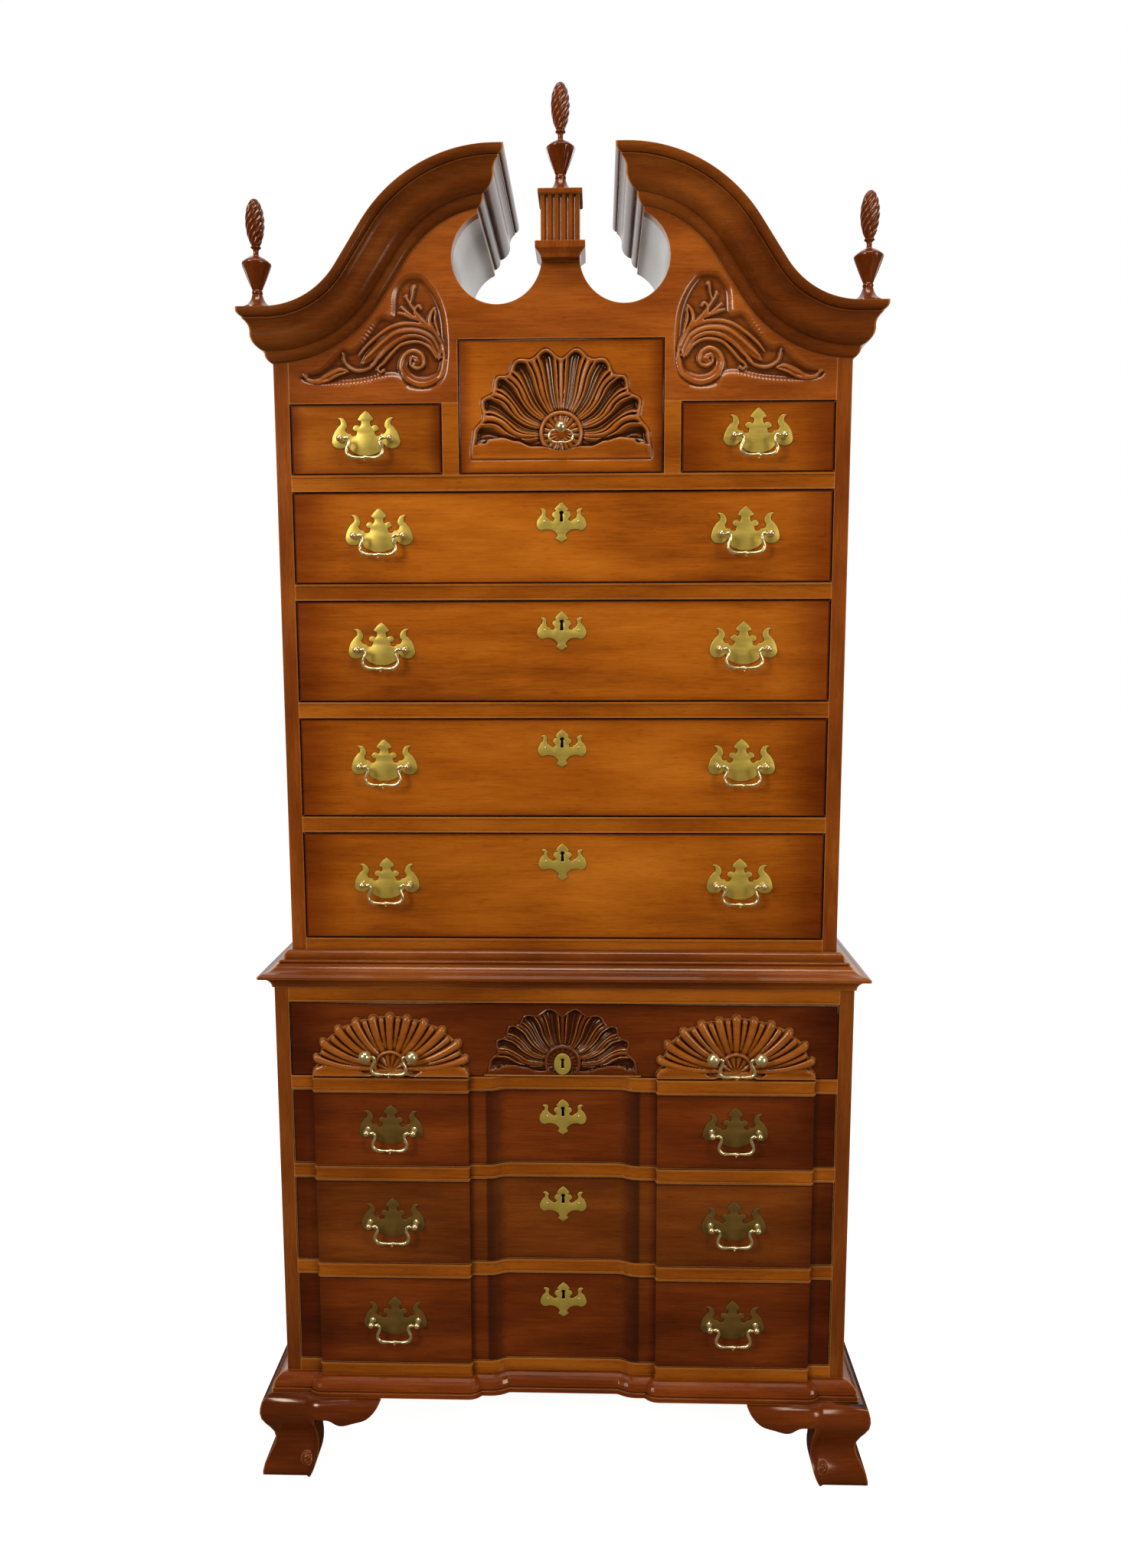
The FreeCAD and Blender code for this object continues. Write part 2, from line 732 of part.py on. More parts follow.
def front_foot():
    """The right front foot: a blocked bracket and a side one, mitred, and their corner block."""
    half, front, tall, far = s.lower_half, s.lower_front, s.foot_height, s.mitre_room
    behind = front + s.foot_board
    bracket = blocked_moulding(foot_profile(), lambda out: block_end(half + far, out), behind, 0)
    bracket = bracket.common(plan([(half + far, front - far), (half, front),
                                   (half, behind), (half - s.foot_reach, behind),
                                   (half - s.foot_reach, front - far)], 0, tall))
    opening = face_on(Vector(half, behind + far, 0), -X_AXIS, Z_AXIS, foot_opening())
    bracket = bracket.cut(opening.extrude(-Y_AXIS * 3 * far))
    flank = side_moulding(foot_profile(), 0, front - far, front + s.foot_reach)
    flank = flank.common(plan([(half + far, front - far), (half + far, front + s.foot_reach),
                               (half, front + s.foot_reach), (half, front)], 0, tall))
    opening = face_on(Vector(half - far, front, 0), Y_AXIS, Z_AXIS, foot_opening())
    flank = flank.cut(opening.extrude(X_AXIS * 3 * far))
    inner = s.foot_leg - s.corner_block_setback
    post = plan([(half, behind), (half, front + inner), (half - inner, front + inner),
                 (half - inner, behind)], 0, tall)
    return bracket, flank, post


def rear_foot():
    """The right rear foot: an ogee bracket along the side, with a plain board across the back."""
    half, back, tall, far = s.lower_half, s.back, s.foot_height, s.mitre_room
    flank = side_moulding(foot_profile(), 0, back - s.foot_reach, back)
    opening = face_on(Vector(half - far, back, 0), -Y_AXIS, Z_AXIS, foot_opening())
    flank = flank.cut(opening.extrude(X_AXIS * 3 * far))
    leg, wide = s.foot_leg - s.corner_block_setback, s.foot_reach / 2
    outline = [(0, 0), (leg, 0), (wide, tall * 0.7), (wide, tall), (0, tall)]
    brace = face_on(Vector(half, back, 0), -X_AXIS, Z_AXIS, polyline(outline))
    return flank, brace.extrude(-Y_AXIS * s.front_thick)


def feet():
    """Both front feet as nodes of their own and the rear pair as one."""
    for word, side in SIDES.items():
        shapes = front_foot()
        if side < 0:
            shapes = [mirror_x(shape) for shape in shapes]
        names = ("bracket", "flank", "block")
        group(f"foot_front_{word}", [feature(f"foot_{word}_{name}", shape)
                                     for name, shape in zip(names, shapes)])
    rear = []
    for name, shape in zip(("flank", "brace"), rear_foot()):
        rear += [feature(f"rear_right_{name}", shape), feature(f"rear_left_{name}", mirror_x(shape))]
    return group("feet_rear", rear)


# --------------------------------------------------------------------------- swan neck
def neck_geometry():
    """Slope, straight run and centres of the right-hand swan neck's top edge.

    It leaves the scroll level, bends down on the upper arc, runs straight, and flattens on the
    lower arc, which ends level above the face of the case's side.
    """
    upper, lower = s.neck_upper_radius, s.neck_lower_radius
    across = s.upper_half - s.scroll_start
    centre_rise = upper + lower - (s.scroll_top - s.cornice_corner)
    straight = math.sqrt(across ** 2 + centre_rise ** 2 - (upper + lower) ** 2)
    turn = math.atan2(across, centre_rise) - math.atan2(straight, upper + lower)
    return turn, straight, Vector(s.scroll_start, s.scroll_top - upper), Vector(
        s.upper_half, s.cornice_corner + lower)


def neck_edge(depth, start_x, end_x):
    """The top edge lowered by depth, from start_x on its upper arc to end_x on its lower arc."""
    turn, _, high, low = neck_geometry()
    upper, lower = s.neck_upper_radius - depth, s.neck_lower_radius + depth

    def on_upper(angle):
        return high.x + upper * math.sin(angle), high.y + upper * math.cos(angle)

    def on_lower(angle):
        return low.x - lower * math.sin(angle), low.y - lower * math.cos(angle)

    first = math.asin((start_x - high.x) / upper)
    last = math.asin((low.x - end_x) / lower)
    return on_upper(first), [
        ("arc", on_upper((first + turn) / 2), on_upper(turn)),
        ("line", on_lower(turn)),
        ("arc", on_lower((last + turn) / 2), on_lower(last)),
    ]


def reversed_path(start, steps):
    """The same path walked the other way."""
    marks = [start] + [step[-1] for step in steps]
    back = [(kind, *reversed(points[:-1]), marks[index])
            for index, (kind, *points) in reversed(list(enumerate(steps)))]
    return marks[-1], back


def cornice_profile():
    """Cornice profile, out from the board and up from its top edge (so all heights are minus)."""
    over, tall = s.cornice_over, s.cornice_height
    return (0, 0), [
        ("line", (over, 0)),
        ("line", (over, -tall * 0.035)),
        ("arc", (over * 0.965, -tall * 0.12), (over * 0.84, -tall * 0.17)),
        ("line", (over * 0.80, -tall * 0.17)),
        ("arc", (over * 0.835, -tall * 0.195), (over * 0.80, -tall * 0.22)),
        ("arc", (over * 0.67, -tall * 0.32), (over * 0.63, -tall * 0.45)),
        ("arc", (over * 0.52, -tall * 0.67), (over * 0.245, -tall * 0.775)),
        ("line", (over * 0.225, -tall * 0.86)),
        ("arc", (over * 0.15, -tall * 0.945), (0, -tall)),
    ]


def swan_neck():
    """The right-hand swan neck: its section run level, round, straight, round and level again."""
    turn, straight, high, low = neck_geometry()
    degrees = math.degrees(turn)
    over = s.cornice_over

    def section(x, z):
        return face_on(Vector(x, s.front, z), -Y_AXIS, Z_AXIS, cornice_profile())

    start = section(high.x, s.scroll_top)
    end = section(low.x, s.cornice_corner)
    slope = section(high.x, s.scroll_top)
    slope.rotate(Vector(high.x, 0, high.y), Y_AXIS, degrees)
    runs = [section(s.slot_half - over - 1, s.scroll_top).extrude(
                X_AXIS * (high.x - s.slot_half + over + 1)),
            start.revolve(Vector(high.x, 0, high.y), Y_AXIS, degrees),
            slope.extrude(Vector(math.cos(turn), 0, -math.sin(turn)) * straight),
            end.revolve(Vector(low.x, 0, low.y), Y_AXIS, degrees),
            end.extrude(X_AXIS * (over + 1))]
    return runs[0].multiFuse(runs[1:]).removeSplitter()


def swan_moulding(word, side):
    """One side's cornice: the swan neck, mitred to its returns along the side and the slot."""
    front, inner, outer, far = s.front, s.slot_half, s.upper_half, s.mitre_room
    low, high = s.cornice_corner - s.cornice_height, s.scroll_top
    neck = swan_neck().common(plan([(inner - far, front - far), (outer + far, front - far),
                                    (outer, front), (inner, front)], low - 1, high + 1))
    flank = face_on(Vector(outer, front - far, s.cornice_corner), X_AXIS, Z_AXIS,
                    cornice_profile()).extrude(Y_AXIS * (s.case_depth + far))
    flank = flank.common(side_wedge(outer, front, s.back, low, high))
    scroll = face_on(Vector(inner, front - far, high), -X_AXIS, Z_AXIS,
                     cornice_profile()).extrude(Y_AXIS * (s.bonnet_depth + far))
    scroll = scroll.common(plan([(inner - far, front - far), (inner, front),
                                 (inner, s.bonnet_back), (inner - far, s.bonnet_back)],
                                low, high))
    shapes = [neck, flank, scroll]
    if side < 0:
        shapes = [mirror_x(shape) for shape in shapes]
    return group(f"swan_moulding_{word}",
                 [feature(f"{name}_{word}", shape)
                  for name, shape in zip(("swan_neck", "side_cornice", "scroll_return"), shapes)])


# --------------------------------------------------------------------------- scroll board, bonnet
def rim(radius, degrees):
    """A point round the right-hand hole's centre."""
    angle = math.radians(degrees)
    return (s.hole_offset + radius * math.cos(angle), s.hole_height + radius * math.sin(angle))


def slot_meet(radius, x):
    """The angle at which a circle round the hole's centre meets the upright at x."""
    return math.degrees(math.acos((x - s.hole_offset) / radius))


def scroll_board():
    """The pierced board behind the swan necks, with its tongue between the two round holes."""
    drop = s.hole_height - s.pillar_top
    tongue = s.hole_offset - math.sqrt(s.hole_radius ** 2 - drop ** 2)
    corner = slot_meet(s.hole_radius, s.slot_half)
    start, edge = neck_edge(s.bonnet_skin, s.slot_half, s.upper_open)
    half = [("line", (tongue, s.pillar_top)),
            ("arc", rim(s.hole_radius, 270), rim(s.hole_radius, corner)),
            ("line", start)]
    half += edge
    half += [("line", point) for point in (
        (s.upper_open, s.small_high), (s.fan_open, s.small_high), (s.fan_open, s.fan_high),
        (0, s.fan_high))]
    return front_pad("scroll_board", mirrored((0, s.pillar_top), half),
                     "levels.front + dims.scroll_thick", "dims.scroll_thick")


def roof_outline():
    """End view of one bonnet roof, bent to the swan neck's top edge."""
    start, outer = neck_edge(0, s.slot_half, s.upper_half)
    end, inner = neck_edge(s.bonnet_skin, s.slot_half, s.upper_half)
    back_start, back = reversed_path(end, inner)
    return start, outer + [("line", back_start)] + back


def lining_outline():
    """End view of one hole's lining: round from under the hole and up beside the slot."""
    radius, thick = s.hole_radius, s.bonnet_skin
    outer_x = s.slot_half + thick
    corner, outer_corner = slot_meet(radius, s.slot_half), slot_meet(radius + thick, outer_x)
    inner_top, _ = neck_edge(thick, s.slot_half, s.upper_half)
    outer_top, _ = neck_edge(thick, outer_x, s.upper_half)
    middle = (corner - 90) / 2
    outer_middle = (outer_corner - 90) / 2
    return rim(radius, 270), [
        ("arc", rim(radius, middle), rim(radius, corner)), ("line", inner_top),
        ("line", outer_top), ("line", rim(radius + thick, outer_corner)),
        ("arc", rim(radius + thick, outer_middle), rim(radius + thick, 270)),
    ]


def bonnet_back_outline():
    """Half outline of the back of the bonnet, open at the slot and round the linings."""
    thick = s.bonnet_skin
    outer_x = s.slot_half + thick
    corner = slot_meet(s.hole_radius + thick, outer_x)
    start, edge = neck_edge(thick, outer_x, s.upper_open)
    floor = s.hole_floor - thick
    half = [("line", rim(s.hole_radius + thick, 270)),
            ("arc", rim(s.hole_radius + thick, (corner - 90) / 2),
             rim(s.hole_radius + thick, corner)),
            ("line", start)]
    half += edge
    half += [("line", (s.upper_open, s.case_top)), ("line", (0, s.case_top))]
    return mirrored((0, floor), half)


def mirrored_outline(start, steps):
    """An outline reflected to the other side of x = 0."""
    return (-start[0], start[1]), [(kind, *[(-x, y) for x, y in points])
                                   for kind, *points in steps]


def bonnet_box():
    """Roofs, round linings, floor and back of the closed bonnet behind the scroll board."""
    behind = "levels.bonnet_back"
    pieces = []
    for word, side in SIDES.items():
        roof, lining = roof_outline(), lining_outline()
        if side < 0:
            roof, lining = mirrored_outline(*roof), mirrored_outline(*lining)
        pieces.append(front_pad(f"bonnet_roof_{word}", roof, behind, "dims.bonnet_depth"))
        pieces.append(front_pad(f"bonnet_lining_{word}", lining, behind,
                                "dims.bonnet_depth - dims.scroll_thick"))
    pieces.append(board("bonnet_floor", ("-dims.hole_offset", "dims.hole_offset"),
                        ("levels.front + dims.scroll_thick", behind),
                        ("levels.hole_floor - dims.bonnet_skin", "levels.hole_floor")))
    pieces.append(front_pad("bonnet_back", bonnet_back_outline(), behind, "dims.back_board"))
    return group("bonnet_box", pieces)


# --------------------------------------------------------------------------- plinth and finials
def square(half, middle, height):
    """The rim of a square centred on x = 0, for lofting a cap or a shaft."""
    corners = [Vector(x, middle + y, height) for x, y in ((-half, -half), (half, -half),
                                                          (half, half), (-half, half))]
    return Part.makePolygon(corners + corners[:1])


def plinth():
    """The fluted plinth on the tongue, between its two square caps."""
    wide, middle, over = s.plinth_width / 2, s.front + s.scroll_thick / 2, s.plinth_over
    low = s.pillar_top
    slab_low, shaft_low = low + s.plinth_foot * 0.55, low + s.plinth_foot
    shaft_high = shaft_low + s.plinth_shaft
    foot = Part.makeLoft([square(wide, middle, low), square(wide + over * 0.25, middle, low + 5),
                          square(wide + over, middle, slab_low),
                          square(wide + over, middle, shaft_low)], True, True)
    shaft = Part.makeLoft([square(wide, middle, shaft_low), square(wide, middle, shaft_high)],
                          True, True)
    pitch = s.plinth_width / (s.flutes + 0.6)
    for number in range(int(s.flutes)):
        along = (number - (s.flutes - 1) / 2) * pitch
        for x, y in ((along, middle - wide), (wide, middle + along), (-wide, middle + along)):
            shaft = shaft.cut(Part.makeCylinder(s.flute_radius, s.plinth_shaft,
                                                Vector(x, y, shaft_low), Z_AXIS))
    cap_half = wide + over / 2
    cap = Part.makeLoft([square(cap_half - 1.5, middle, shaft_high),
                         square(cap_half, middle, shaft_high + 2),
                         square(cap_half, middle, shaft_high + s.plinth_cap)], True, True)
    return group("plinth", [feature("plinth_foot", foot), feature("plinth_shaft", shaft),
                            feature("plinth_cap", cap)])


def finial_outline():
    """Half section of a flame finial: flared foot, urn, necks and the flame itself."""
    tall, urn, flame = s.finial_height, s.urn_radius, s.flame_radius
    foot, stem, neck = urn * 1.12, urn * 0.36, urn * 0.21
    return (0, 0), [
        ("line", (s.finial_seat, 0)),
        ("line", (foot, s.finial_relief)),
        ("line", (foot, tall * 0.018)),
        ("arc", (foot * 0.55, tall * 0.065), (stem, tall * 0.135)),
        ("line", (stem * 1.25, tall * 0.15)),
        ("line", (stem, tall * 0.165)),
        ("curve", (urn * 0.62, tall * 0.24), (urn * 0.93, tall * 0.33), (urn, tall * 0.385)),
        ("line", (urn, tall * 0.405)),
        ("arc", (urn * 0.80, tall * 0.445), (urn * 0.42, tall * 0.465)),
        ("line", (neck, tall * 0.485)),
        ("line", (neck, tall * 0.52)),
        ("line", (neck * 1.45, tall * 0.535)),
        ("curve", (flame * 0.78, tall * 0.64), (flame, tall * 0.76), (flame * 0.80, tall * 0.87),
         (flame * 0.30, tall * 0.965), (0, tall)),
        ("line", (0, 0)),
    ]


def finials():
    """The centre finial on the plinth and one at each front corner of the cornice."""
    turning("finial_centre", finial_outline(), "0", "levels.front + dims.scroll_thick / 2",
            "levels.plinth_top")
    pair = []
    for word, side in SIDES.items():
        inset = "levels.upper_half + dims.cornice_over - dims.finial_inset"
        x = inset if side > 0 else f"-({inset})"
        pair.append(turning(f"finial_{word}", finial_outline(), x,
                            "levels.front - dims.cornice_over + dims.finial_inset",
                            "dims.cornice_corner"))
    return group("finials_side", pair)


# --------------------------------------------------------------------------- carved shells
def fan_rays(half, tall, base):
    """Angle and reach of each ray of a shell that fills a half ellipse above its base."""
    count = int(s.shell_lobes)
    droop = math.asin(base / half) / 2
    rays = []
    for number in range(count):
        angle = -droop + (math.pi + 2 * droop) * number / (count - 1)
        reach = half * (tall - base) / math.hypot((tall - base) * math.cos(angle),
                                                  half * math.sin(angle))
        rays.append((angle, reach))
    return rays


def ray_point(angle, reach, base):
    return reach * math.cos(angle), base + reach * math.sin(angle)


def lobe(first, last, near_radius, far_radius):
    """A turned lobe between two centres: round at both ends and tapered in between."""
    length = first.distanceToPoint(last)
    taper = math.asin((far_radius - near_radius) / length)

    def rim_point(centre, radius, angle):
        return centre - radius * math.sin(angle), radius * math.cos(angle)

    outline = (-near_radius, 0), [
        ("arc", rim_point(0, near_radius, (taper + math.pi / 2) / 2),
         rim_point(0, near_radius, taper)),
        ("line", rim_point(length, far_radius, taper)),
        ("arc", rim_point(length, far_radius, (taper - math.pi / 2) / 2),
         (length + far_radius, 0)),
    ]
    half = face_on(Vector(0, 0, 0), X_AXIS, Y_AXIS, outline)
    solid = half.revolve(Vector(0, 0, 0), X_AXIS, 360)
    solid.Placement = FreeCAD.Placement(first, FreeCAD.Rotation(X_AXIS, last - first))
    return solid


def ray_at(angle, reach, base, depth):
    """A point on a ray at a depth in y."""
    across, up = ray_point(angle, reach, base)
    return Vector(across, depth, up)


def raised_shell():
    """A convex shell, standing forward from y = 0, its lower edge on z = 0."""
    half, tall, base, tip = s.shell_half, s.shell_height, s.shell_base, s.shell_tip
    rays = fan_rays(half, tall, base)
    ground = s.shell_rise - tip
    marks = []
    for (angle, reach), (following, further) in zip(rays, rays[1:]):
        marks.append(ray_point(angle, reach - tip / 2, base))
        marks.append(ray_point((angle + following) / 2, (reach + further) / 2 * 0.9, base))
    marks.append(ray_point(rays[-1][0], rays[-1][1] - tip / 2, base))
    steps = [("line", mark) for mark in marks[1:]]
    steps += [("line", (-half * 0.95, 0)), ("line", (half * 0.95, 0))]
    shape = face_on(Vector(0, 0, 0), X_AXIS, Z_AXIS, (marks[0], steps)).extrude(-Y_AXIS * ground)
    lobes = [lobe(ray_at(angle, s.shell_eye, base, -ground), ray_at(angle, reach - tip, base, -ground),
                  tip * 0.4, tip) for angle, reach in rays]
    eye = Part.makeCone(s.shell_eye, s.shell_eye * 0.9, s.shell_rise, Vector(0, 0, base), -Y_AXIS)
    room = plan([(-2 * half, -2 * s.shell_rise), (2 * half, -2 * s.shell_rise), (2 * half, 0),
                 (-2 * half, 0)], 0, 2 * tall)
    return shape.fuse(lobes + [eye]).common(room).removeSplitter()


def sunk_flutes(half, tall, base, deep):
    """The flutes that are cut into a front to carve a hollow shell, drawn about y = 0.

    Each is a round-ended cone whose point lies at the middle of the shell, on its surface.
    """
    rays = fan_rays(half, tall, base)
    spread = math.sin(math.pi / (len(rays) - 1) / 2)
    cuts = []
    for angle, reach in rays:
        end = reach / (1 + spread)
        chord = end * spread
        radius = (chord ** 2 + deep ** 2) / (2 * deep)
        share = s.shell_eye / end
        cuts.append(lobe(ray_at(angle, s.shell_eye, base, (deep - radius) * share),
                         ray_at(angle, end, base, deep - radius), radius * share, radius))
    return cuts


# --------------------------------------------------------------------------- drawers
def flat_front(middle, half, front, low, high):
    """A flat drawer front with its outer edges eased, from numbers."""
    gap, ease, thick = s.front_gap, s.front_ease, s.front_thick
    rear = plan([(middle - half + gap, front + ease), (middle + half - gap, front + ease),
                 (middle + half - gap, front + thick), (middle - half + gap, front + thick)],
                low + gap, high - gap)
    wires = []
    for inset, depth in ((gap, front + ease), (gap + ease, front)):
        corners = [Vector(middle - half + inset, depth, low + inset),
                   Vector(middle + half - inset, depth, low + inset),
                   Vector(middle + half - inset, depth, high - inset),
                   Vector(middle - half + inset, depth, high - inset)]
        wires.append(Part.makePolygon(corners + corners[:1]))
    return rear.fuse(Part.makeLoft(wires, True, True)).removeSplitter()


def keyhole(middle):
    """A keyhole's outline: a round head centred at a height, over a slot that widens downwards."""
    radius, foot = s.keyhole_radius, middle - s.keyhole_tall
    neck = radius * 0.65
    shoulder = middle - math.sqrt(radius ** 2 - neck ** 2)
    return (neck, shoulder), [("arc", (0, middle + radius), (-neck, shoulder)),
                              ("line", (-s.keyhole_foot, foot)), ("line", (s.keyhole_foot, foot))]


def key_height(high):
    """Height of the round head of a keyhole behind the plate that hangs under a level."""
    return high - s.escutcheon_below - s.keyhole_below


def lock_hole(face, middle):
    """What cuts a keyhole into the wood of a front whose face is at a depth."""
    hole = face_on(Vector(0, face + s.lock_deep, 0), X_AXIS, Z_AXIS, keyhole(middle))
    return hole.extrude(-Y_AXIS * 2 * s.lock_deep)


def blocked_front(name, half, number):
    """A drawer front carved with the block outline, flat behind, with the keyhole in its middle."""
    low, high = f"levels.block_{number}_low", f"levels.block_{number}_high"
    outline = blocked_outline(half - s.front_gap, s.lower_front + s.front_thick)
    body = plan_pads(name, [(polyline(outline), f"{low} + dims.front_gap",
                             f"{high} - {low} - 2 * dims.front_gap")])
    key = body.newObject("PartDesign::Pocket", f"{name}_keyhole")
    key.Profile = sketch_on(body, "XZ_Plane", "-(levels.lower_front + dims.recess_depth)",
                            keyhole(key_height(getattr(s, f"block_{number}_high"))))
    key.setExpression("Length", "dims.lock_deep")
    return body


def drawer_box(stem, middle, half, front, low, high):
    """Sides, back and bottom of a drawer, from formulas. Returns the four boards."""
    start = f"{front} + dims.front_thick"
    end = f"{front} + levels.drawer_length"
    outer = f"({half}) - dims.side_clear"
    base, top = f"{low} + dims.ride_clear", f"{high} - dims.drawer_head"
    thick = "dims.drawer_board"
    floor = f"{base} + dims.drawer_lower_edge"
    across = (f"{middle} - ({outer}) + {thick}", f"{middle} + ({outer}) - {thick}")
    return [
        board(f"{stem}_side_left", (f"{middle} - ({outer})", across[0]), (start, end), (base, top)),
        board(f"{stem}_side_right", (across[1], f"{middle} + ({outer})"), (start, end), (base, top)),
        board(f"{stem}_back", across, (f"{end} - {thick}", end), (floor, top)),
        board(f"{stem}_bottom", across, (start, f"{end} - {thick}"),
              (floor, f"{floor} + dims.drawer_bottom")),
    ]


def plain_drawer(name, side, half, front, low, high, carve=None):
    """A drawer with a flat front, which carve may shape further.

    half, front, low and high are names of levels. side is 0 in the middle of the case, and the
    small drawers' sides are -1 and 1.
    """
    middle = side * s.small_middle
    shape = flat_front(middle, *[getattr(s, word) for word in (half, front, low, high)])
    extra = []
    if carve:
        shape, extra = carve(shape)
    pieces = [feature(f"{name}_front", shape)] + extra
    return group(name, pieces + drawer_box(name, f"{side} * levels.small_middle", f"levels.{half}",
                                           f"levels.{front}", f"levels.{low}", f"levels.{high}"))


def keyed(high):
    """What bores an upper drawer's front for its key, under the level of that name."""
    def bore(shape):
        return shape.cut(lock_hole(s.front, key_height(getattr(s, high)))), []
    return bore


def carve_fan(shape):
    """Cut the large fan into the middle drawer's front."""
    at = Vector(0, s.front, s.small_low + s.fan_edge)
    cuts = sunk_flutes(s.fan_half, s.fan_tall, s.fan_base, s.carve_deep)
    for cut in cuts:
        cut.translate(at)
    boss = Part.makeCylinder(s.shell_eye * 1.2, s.carve_deep,
                             at + Vector(0, 0, s.fan_base), Y_AXIS)
    return shape.cut(cuts).fuse(boss).removeSplitter(), []


def oval_key_height():
    """Height of the hollow shell's keyhole over the shell's lower edge."""
    return s.key_oval_rise + s.keyhole_tall / 2


def carve_shells(shape):
    """Cut the hollow shell in the middle and set a raised one over each block."""
    at = Vector(0, s.lower_front, s.shell_low + s.shell_edge)
    cuts = sunk_flutes(s.shell_half, s.shell_height, s.shell_base, s.carve_deep)
    for cut in cuts:
        cut.translate(at)
    boss = Part.makeCylinder(s.shell_eye, s.carve_deep, at + Vector(0, 0, s.shell_base), Y_AXIS)
    applied = []
    raised = raised_shell()
    stem_z = s.shell_pull_rise - s.shell_edge
    for side in SIDES.values():
        raised = raised.cut(Part.makeCylinder(s.knob_stem + s.pin_clearance, 2 * s.shell_rise,
                                              Vector(side * s.boring / 2, 0, stem_z), -Y_AXIS))
    for word, side in SIDES.items():
        one = raised.copy()
        one.translate(at + Vector(side * s.block_middle, 0, 0))
        applied.append(feature(f"raised_shell_{word}", one))
    carved = shape.cut(cuts).fuse(boss).cut(lock_hole(s.lower_front, at.z + oval_key_height()))
    return carved.removeSplitter(), applied


def drawers():
    """All eleven drawers, each a group of its boards."""
    for word, side in SIDES.items():
        plain_drawer(f"drawer_small_{word}", side, "small_half", "front", "small_low", "small_high")
    plain_drawer("drawer_fan", 0, "fan_open", "front", "small_low", "fan_high", carve_fan)
    for number in (1, 2, 3, 4):
        low, high = f"upper_{number}_low", f"upper_{number}_high"
        plain_drawer(f"drawer_upper_{number}", 0, "upper_open", "front", low, high, keyed(high))
    plain_drawer("drawer_shell", 0, "lower_open", "lower_front", "shell_low", "shell_high",
                 carve_shells)
    for number in (1, 2, 3):
        name = f"drawer_block_{number}"
        front = blocked_front(f"{name}_front", s.lower_open, number)
        group(name, [front] + drawer_box(name, "0", "levels.lower_open", "levels.lower_front",
                                         f"levels.block_{number}_low",
                                         f"levels.block_{number}_high"))


# --------------------------------------------------------------------------- brasses
def batwing():
    """Half outline of a batwing plate about its post line, from its crest round to its base."""
    return (0, 42.6), [
        ("arc", (7, 37), (12.5, 29.6)), ("line", (7.5, 27.5)), ("arc", (6.8, 23), (9.6, 19.2)),
        ("arc", (16.5, 21), (20, 15.9)), ("arc", (17, 12.6), (13.4, 12.2)),
        ("line", (14.2, 7.5)), ("arc", (19.5, 4.9), (23.8, 8.8)), ("arc", (30, 10), (32.1, 15)),
        ("arc", (29.3, 20.5), (30.5, 25.9)), ("arc", (36.2, 32), (43.8, 31.7)),
        ("arc", (39, 27.5), (39.2, 21.7)), ("arc", (48, 12), (52.2, 0)),
        ("arc", (49.5, -10.5), (42.2, -13.4)), ("arc", (34, -12.5), (28, -6.7)),
        ("arc", (24, -15.5), (14.6, -21.7)), ("arc", (7.5, -24), (0, -24.2)),
    ]


def escutcheon():
    """Half outline of a keyhole plate below its crest."""
    return (0, 0), [
        ("arc", (6.2, -5), (10.8, -11)), ("line", (6.4, -14.2)), ("arc", (13, -15.4), (14.7, -20.4)),
        ("line", (10.5, -24.5)), ("arc", (14, -28.6), (18.2, -25.9)),
        ("arc", (23.6, -22), (23.7, -13.9)), ("arc", (27.6, -9.6), (33.1, -10.7)),
        ("arc", (30, -14.5), (30.8, -19.1)), ("arc", (36, -25), (38.4, -31.7)),
        ("arc", (36.5, -39.5), (29.9, -42.7)), ("arc", (22, -41), (17, -41.5)),
        ("arc", (10, -45), (5.9, -50.4)), ("line", (8.9, -54.6)), ("line", (0, -60.8)),
    ]


def oval():
    """Half outline of the hollow shell's key plate about its middle."""
    wide, tall = s.key_oval_wide / 2, s.key_oval_tall / 2

    def at(degrees):
        angle = math.radians(degrees)
        return wide * math.sin(angle), tall * math.cos(angle)

    return at(0), [("arc", at(22.5), at(45)), ("arc", at(90), at(135)), ("arc", at(157.5), at(180))]


def plate(name, outline, x, face, z, holes=()):
    """A thin brass plate on a drawer front, drawn about a point given by formulas."""
    body = front_pad(name, outline, face, "dims.plate_thick", holes)
    body.setExpression("Placement.Base.x", x)
    body.setExpression("Placement.Base.z", z)
    return body


def post(name, x, y, z, ball, side):
    """A pull's post: a collar, a stem and a round head, with a blind bore for the bail's pin."""
    reach = s.post_reach
    stem = Part.makeCylinder(s.post_stem, reach, Vector(x, y, z), -Y_AXIS)
    collar = Part.makeCone(ball * 1.1, s.post_stem, s.post_collar, Vector(x, y, z), -Y_AXIS)
    head = Part.makeSphere(ball, Vector(x, y - reach, z))
    bore = Part.makeCylinder(s.pin_radius + s.pin_clearance, ball + 1, Vector(x, y - reach, z),
                             X_AXIS * -side)
    return feature(name, stem.fuse([collar, head]).cut(bore).removeSplitter())


def rounded_path(corners, radii):
    """A wire of straight runs joined by tangent arcs, from corner points and their radii."""
    edges = []
    here = corners[0]
    for before, corner, after, radius in zip(corners, corners[1:], corners[2:], radii):
        back, ahead = (before - corner).normalize(), (after - corner).normalize()
        half = back.getAngle(ahead) / 2
        cut = radius / math.tan(half)
        first, last = corner + back * cut, corner + ahead * cut
        middle_way = (back + ahead).normalize()
        via = corner + middle_way * (radius / math.sin(half) - radius)
        if here.distanceToPoint(first) > 1e-6:
            edges.append(Part.LineSegment(here, first).toShape())
        edges.append(Part.Arc(first, via, last).toShape())
        here = last
    edges.append(Part.LineSegment(here, corners[-1]).toShape())
    return Part.Wire(edges)


